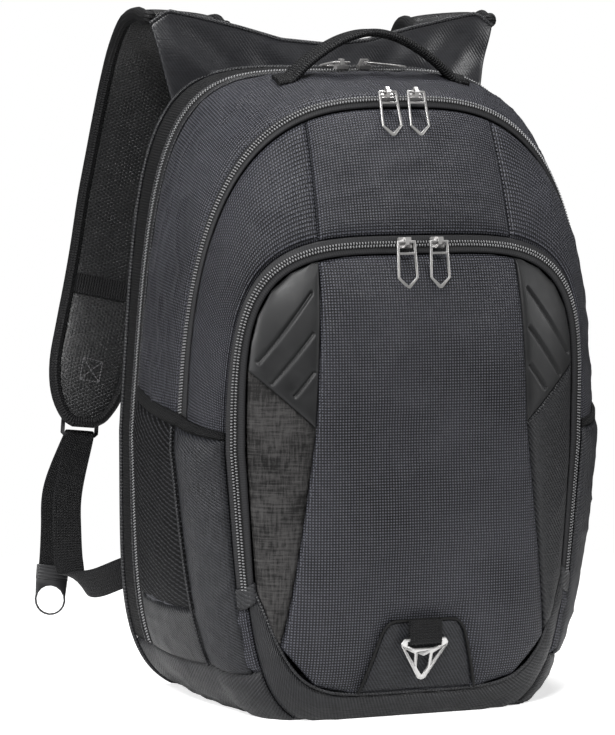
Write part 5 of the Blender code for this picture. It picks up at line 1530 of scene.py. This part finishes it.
def make_yoke():
    """The padded piece behind the top edge that the straps are sewn into, with shallow folds."""
    columns = np.linspace(-1, 1, 71)
    rows = np.linspace(0, 1, 22)
    tops = np.interp(np.abs(columns), [e.across for e in YOKE_EDGE], [e.top for e in YOKE_EDGE])
    narrow = 1 - YOKE_NARROW * (1 - rows)
    across = columns[:, None] * YOKE_WIDTH / 2 * narrow[None]
    height = YOKE_FOOT + (YOKE_TOP - YOKE_FOOT) * tops[:, None] * rows[None]
    crease = np.sin(across * 62 + height * 90) + 0.5 * np.sin(np.abs(across) * 150 - height * 130 + 1.0)
    fold = YOKE_FOLD * crease * np.sin(math.pi * rows)[None]
    depth = SEAM_GAP + LIFT_OFF + YOKE_LEAN * rows[None] ** 2 + fold
    front = np.stack([across, depth, height], axis=-1)
    swell = YOKE_THICKNESS * (0.45 + 0.55 * np.sin(math.pi * rows)[None] ** 0.5) + 0 * across
    back = front + np.stack([0 * swell, swell, 0 * swell], axis=-1)
    mesh = panel_mesh("yoke", front, back, np.stack([across, height], axis=-1))
    new_object("yoke", mesh, "plain")
    tube("yoke_binding", front[:, -1] + np.array([0, YOKE_THICKNESS * 0.25, 0.0004]), 0.0019, "plain")


# Half the width and half the height of the tape round the strap, and the stitches' distance from the strap
BINDING_WIDTH = 0.0056
BINDING_HEIGHT = 0.0048
STITCH_LIFT = 0.0002


def strap_rows():
    """The strap's sections, with its root brought up to the back of the yoke."""
    rows = strap_table()
    rows[0, 1] = SEAM_GAP + LIFT_OFF + YOKE_LEAN + YOKE_THICKNESS * 0.9
    return smooth_path(rows, 4)


def strap_lines():
    """The strap's middle points, widths and directions of its width."""
    rows = strap_rows()
    return rows[:, :3], rows[:, 3], np.stack([np.ones(len(rows)), np.zeros(len(rows)), rows[:, 4]], axis=1)


def make_strap(name):
    centres, widths, hints = strap_lines()
    ends = np.minimum(1, 0.55 + 0.08 * np.arange(len(widths))[::-1])
    sections = [pad_section(w, STRAP_THICKNESS * e) for w, e in zip(widths, ends)]
    return new_object(name, sweep_mesh(name, centres, hints, sections), "mesh")


def make_strap_binding(name):
    """Tape bound over the strap's edge, all the way round its end."""
    centres, widths, hints = strap_lines()
    along = unit(np.gradient(centres, axis=0))
    sideways = unit(hints - along * np.sum(hints * along, axis=1, keepdims=True))
    left = centres - sideways * widths[:, None] / 2
    right = centres + sideways * widths[:, None] / 2
    path = np.concatenate([left, right[::-1]])
    face = np.cross(along, sideways)
    hints = np.concatenate([face, face[::-1]])
    section = [(BINDING_WIDTH * math.cos(a), BINDING_HEIGHT * math.sin(a))
               for a in np.linspace(0, 2 * math.pi, 14, endpoint=False)]
    mesh = sweep_mesh(name, path, hints, [section] * len(path))
    return new_object(name, mesh, "webbing", node=False)


def make_tab_clamp(name):
    """The ribbed end that is moulded over the webbing, above the thumb ring."""
    rows = web_rows(WEB_TAIL)
    along = unit(rows[-1, :3] - rows[-2, :3])
    across = unit(rows[-1, 3:] - along * np.dot(rows[-1, 3:], along))
    start = rows[-1, :3] - along * 0.0045
    steps = np.linspace(0, TAB_HEIGHT * 0.95, 25)
    swell = 1 + 0.16 * np.sin(steps / TAB_HEIGHT * math.pi * 9)
    band = band_section(WEB_WIDTH + 0.0016, TAB_THICKNESS + 0.0012)
    sections = [[(x, y * grow) for x, y in band] for grow in swell]
    path = start + along * steps[:, None]
    mesh = sweep_mesh(name, path, np.tile(across, (len(path), 1)), sections)
    return new_object(name, mesh, "plastic", node=False)


def make_pullers():
    """Rounded wire frames where the model's pullers hang, by their hinges and their tips."""
    frame_shape = puller_mesh()
    joints = {joint["child"]: joint for joint in frame["joints"]}
    for name in (f"{zip_name}_puller_{side}" for zip_name in ("front", "main", "rear") for side in "LR"):
        pivot, axis = np.array(joints[name]["pos_m"]), -unit(np.array(joints[name]["axis"], float))
        corners = np.array([tuple(vertex.co) for vertex in bpy.data.objects[name].data.vertices])
        away = np.linalg.norm(corners - pivot, axis=1)
        way = corners[away > away.max() * 0.98].mean(axis=0) - pivot
        way = unit(way - axis * np.dot(way, axis))
        place = frame_matrix(pivot - np.array([0, SHIFT, 0]), axis, -way, np.cross(axis, -way))
        new_object(name, frame_shape.copy(), "gunmetal", place)


# Radii of the cords
BACK_CORD, SEAM_CORD, SIDE_CORD = 0.0017, 0.0011, 0.0012


def make_piping():
    """Cords in the seams: round the back, at the base and down the side pockets."""
    full = np.linspace(0, 2 * math.pi, 361)[:-1]
    back = surface(full, 0.0) + np.stack([0 * full, 0 * full + 0.0004, 0 * full], axis=-1)
    back[:, 2] = np.maximum(back[:, 2], 0.0018)
    tube("back_piping", back, BACK_CORD, "plain", closed=True)
    angles = both_halves(np.linspace(BASE_ANGLE, math.pi / 2, 160))
    aside = ZIP_WIDTH / 2 + 0.0012
    rear = surface(angles, beside(angles, REAR, -aside)) + surface_normal(angles, 0.9) * 0.0002
    tube("rear_seam_cord", rear, SEAM_CORD, "plain")
    ahead = surface(angles, beside(angles, REAR, aside)) + surface_normal(angles, 1.1) * 0.0002
    tube("main_seam_cord", ahead, SEAM_CORD, "plain")
    rise = np.linspace(BASE_HEIGHT, pocket_top(REAR + MESH_SHARE) - BAND_WIDTH, 40)
    turned = np.array([rim_angle(h, RIMS[MAIN]) for h in rise])
    depth = np.full(len(turned), REAR + MESH_SHARE)
    lift = pocket_lift(turned, depth) + 0.0008
    line = surface(turned, depth) + surface_normal(turned, depth) * lift[:, None]
    seam = hem_edge(HEM_ANGLES) - surface_normal(HEM_ANGLES, hem_depth(HEM_ANGLES)) * 0.0004
    seam[:, 2] = np.maximum(seam[:, 2], 0.0012)
    tube("hem_cord", seam, SIDE_CORD, "plain")
    right = tube("side_pocket_cord_R", line, SIDE_CORD, "plain")
    mirrored(right, "side_pocket_cord_L", node=False)


def make_zip_stop(name):
    """The short piece of cloth sewn across the front zip's end."""
    angles = np.linspace(FRONT_END_ANGLE - 0.030, FRONT_END_ANGLE + 0.030, 12)
    shares = np.linspace(-0.62, 0.62, 12)
    depths = np.stack([beside(angles, FRONT, share * ZIP_WIDTH) for share in shares], axis=1)
    wide = np.repeat(angles[:, None], len(shares), axis=1)
    points, normals = surface(wide, depths), surface_normal(wide, depths)
    dome = np.minimum(1, 3 * (1 - np.abs(shares) / 0.62))[None] * 0.0012
    outer, inner = points + normals * (dome + 0.0006)[..., None], points - normals * 0.0030
    mesh = panel_mesh(name, outer, inner, pairs(angles * 0.2, shares * ZIP_WIDTH))
    return new_object(name, mesh, "plain", node=False)


# The sewn square on the strap: its top and foot as shares of the bag's height, and its dashes a line
STITCH_TOP, STITCH_FOOT = 0.512, 0.478
STITCH_MARGIN = 0.004
DASHES = 7


def make_cross_stitch(name):
    """The square with a cross that holds the webbing on the strap, in raised thread."""
    dashes = []
    half = WEB_WIDTH / 2 - STITCH_MARGIN

    def spot(share, side):
        centre, _, across, out = strap_frame(share)
        return centre - out * (STRAP_THICKNESS / 2 + STITCH_LIFT) + across * side

    corners = [(STITCH_TOP, -half), (STITCH_TOP, half), (STITCH_FOOT, half), (STITCH_FOOT, -half)]
    lines = list(zip(corners, corners[1:] + corners[:1]))
    lines += [(corners[0], corners[2]), (corners[1], corners[3])]
    for (s0, a0), (s1, a1) in lines:
        for k in range(DASHES):
            t0, t1 = (k + 0.12) / DASHES, (k + 0.88) / DASHES
            dashes.append(tuple(spot(s0 + (s1 - s0) * t, a0 + (a1 - a0) * t) for t in (t0, t1)))
    return new_object(name, thread_mesh(name, dashes), "thread", node=False)


# A stitch of thread: its sides, and its radii at shares of its length
THREAD_SIDES = 6
THREAD_RADII = ((0, 0.0002), (0.2, 0.0005), (0.8, 0.0005), (1, 0.0002))


def thread_mesh(name, dashes):
    """Short stitches of thread as one mesh of thin rounded bars."""
    points, faces = [], []
    turns = np.linspace(0, 2 * math.pi, THREAD_SIDES, endpoint=False)
    ring = [(math.cos(a), math.sin(a)) for a in turns]
    last = (len(THREAD_RADII) - 1) * THREAD_SIDES
    for start, end in dashes:
        along = unit(end - start)
        side = unit(np.cross(along, np.array([0.31, 0.83, 0.46])))
        up = np.cross(along, side)
        count = len(points)
        for share, radius in THREAD_RADII:
            centre = start + (end - start) * share
            points += [centre + side * x * radius + up * y * radius for x, y in ring]
        for a in range(count, count + last, THREAD_SIDES):
            for k in range(THREAD_SIDES):
                m = (k + 1) % THREAD_SIDES
                faces.append((a + k, a + m, a + THREAD_SIDES + m, a + THREAD_SIDES + k))
        faces.append(tuple(count + k for k in range(THREAD_SIDES))[::-1])
        faces.append(tuple(count + last + k for k in range(THREAD_SIDES)))
    return new_mesh(name, np.array(points), faces)


# Light, floor and camera

Lamp = namedtuple("Lamp", "name place target size power")
LAMPS = (
    Lamp("key", (-1.3, -2.3, 2.4), (0, 0, 0.25), 1.0, 105),
    Lamp("fill", (2.4, -1.6, 0.9), (0, 0, 0.25), 1.0, 30),
    Lamp("side", (-2.6, -0.2, 0.8), (0, 0, 0.25), 0.7, 44),
    Lamp("top", (0.2, 0.2, 2.4), (0, 0, 0.35), 1.0, 48),
)

# The floor fades between two distances from its middle
FLOOR_SIZE = 5.0
FLOOR_CLEAR = (0.25, 0.75)
FLOOR_GLOW = 0.60
ROOM_LIGHT = 0.08

CAMERA_PLACE = (-0.8644, -2.3489, 0.4624)
CAMERA_TARGET = (-0.053, -0.1, 0.253)
CAMERA_LENS = 156.8
CAMERA_SENSOR = 36.0


def area_light(name, place, target, size, power):
    data = bpy.data.lights.new(name, "AREA")
    data.shape, data.size, data.energy = "DISK", size, power
    made = bpy.data.objects.new(name, data)
    bpy.context.scene.collection.objects.link(made)
    made.location = place
    made.rotation_euler = (Vector(target) - Vector(place)).to_track_quat("-Z", "Y").to_euler()
    return made


def make_world():
    """White where the camera sees it, and a dim light from all round on the bag."""
    world = bpy.data.worlds.new("studio")
    bpy.context.scene.world = world
    world.use_nodes = True
    tree = world.node_tree
    tree.nodes.clear()
    seen = add(tree, "ShaderNodeLightPath").outputs["Is Camera Ray"]
    strength = calc(tree, "MULTIPLY_ADD", seen, 1 - ROOM_LIGHT, ROOM_LIGHT)
    light = add(tree, "ShaderNodeBackground", {"Color": (1, 1, 1, 1), "Strength": strength})
    add(tree, "ShaderNodeOutputWorld", {"Surface": light.outputs[0]})


def make_floor():
    """A white floor that takes the shadow and fades out away from the bag."""
    bpy.ops.mesh.primitive_plane_add(size=FLOOR_SIZE, location=(0, 0, 0))
    floor = bpy.context.object
    floor.name = "floor"
    made = bpy.data.materials.new("look_floor")
    made.use_nodes = True
    tree = made.node_tree
    shader = tree.nodes["Principled BSDF"]
    shader.inputs["Base Color"].default_value = (0.95, 0.95, 0.95, 1)
    shader.inputs["Roughness"].default_value = 0.9
    shader.inputs["Emission Color"].default_value = (1, 1, 1, 1)
    seen = add(tree, "ShaderNodeLightPath").outputs["Is Camera Ray"]
    tree.links.new(calc(tree, "MULTIPLY", seen, FLOOR_GLOW), shader.inputs["Emission Strength"])
    place = add(tree, "ShaderNodeTexCoord").outputs["Object"]
    away = add(tree, "ShaderNodeVectorMath", {0: place}, operation="LENGTH").outputs["Value"]
    clear = add(tree, "ShaderNodeBsdfTransparent")
    inputs = {0: ramp(tree, away, *FLOOR_CLEAR), 1: shader.outputs[0], 2: clear.outputs[0]}
    blend = add(tree, "ShaderNodeMixShader", inputs)
    tree.links.new(blend.outputs[0], tree.nodes["Material Output"].inputs["Surface"])
    floor.data.materials.append(made)


def make_stage():
    make_world()
    make_floor()
    for lamp in LAMPS:
        area_light(*lamp)
    bpy.context.scene.view_settings.view_transform = "Standard"


def make_camera():
    data = bpy.data.cameras.new("camera")
    data.sensor_fit, data.sensor_height, data.lens = "VERTICAL", CAMERA_SENSOR, CAMERA_LENS
    made = bpy.data.objects.new("camera", data)
    bpy.context.scene.collection.objects.link(made)
    place, target = (Vector((x, y + SHIFT, z)) for x, y, z in (CAMERA_PLACE, CAMERA_TARGET))
    made.location = place
    made.rotation_euler = (target - place).to_track_quat("-Z", "Y").to_euler()
    bpy.context.scene.camera = made


def finish_nodes():
    """The sliders keep their solids and get a finer metal."""
    for name in frame["nodes"]:
        if "slider" in name:
            solid = bpy.data.objects[name]
            solid.data.materials.clear()
            solid.data.materials.append(LOOKS["gunmetal"])


def build():
    make_back_panel()
    make_gussets()
    make_base()
    make_zip("rear_zip", REAR, BASE_ANGLE)
    make_zip("main_zip", MAIN, MAIN_END_ANGLE)
    make_zip("front_zip", FRONT, FRONT_END_ANGLE)
    make_upper_panels()
    make_hem()
    make_pocket_centre()
    _, left = both_sides("pocket_side", make_pocket_side)
    left.data.materials[0] = LOOKS["heather"]
    both_sides("pocket_trim", make_pocket_trim)
    make_side_pockets()
    make_loop_patch()
    make_ring_loop()
    make_ring()
    make_handle()
    make_yoke()
    straps = both_sides("strap", make_strap)
    both_sides("strap_binding", make_strap_binding, node=False)
    both_sides("strap_keeper", make_keeper)
    both_sides("buckle_loop", make_buckle_loop)
    both_sides("ladder_lock", make_lock)
    both_sides("adjuster", make_adjuster)
    both_sides("pull_tab", make_pull_tab)
    both_sides("pull_tab_clamp", make_tab_clamp, node=False)
    both_sides("front_zip_stop", make_zip_stop, node=False)
    both_sides("strap_stitch", make_cross_stitch, node=False)
    make_pullers()
    make_piping()
    finish_nodes()
    make_stage()
    make_camera()


build()
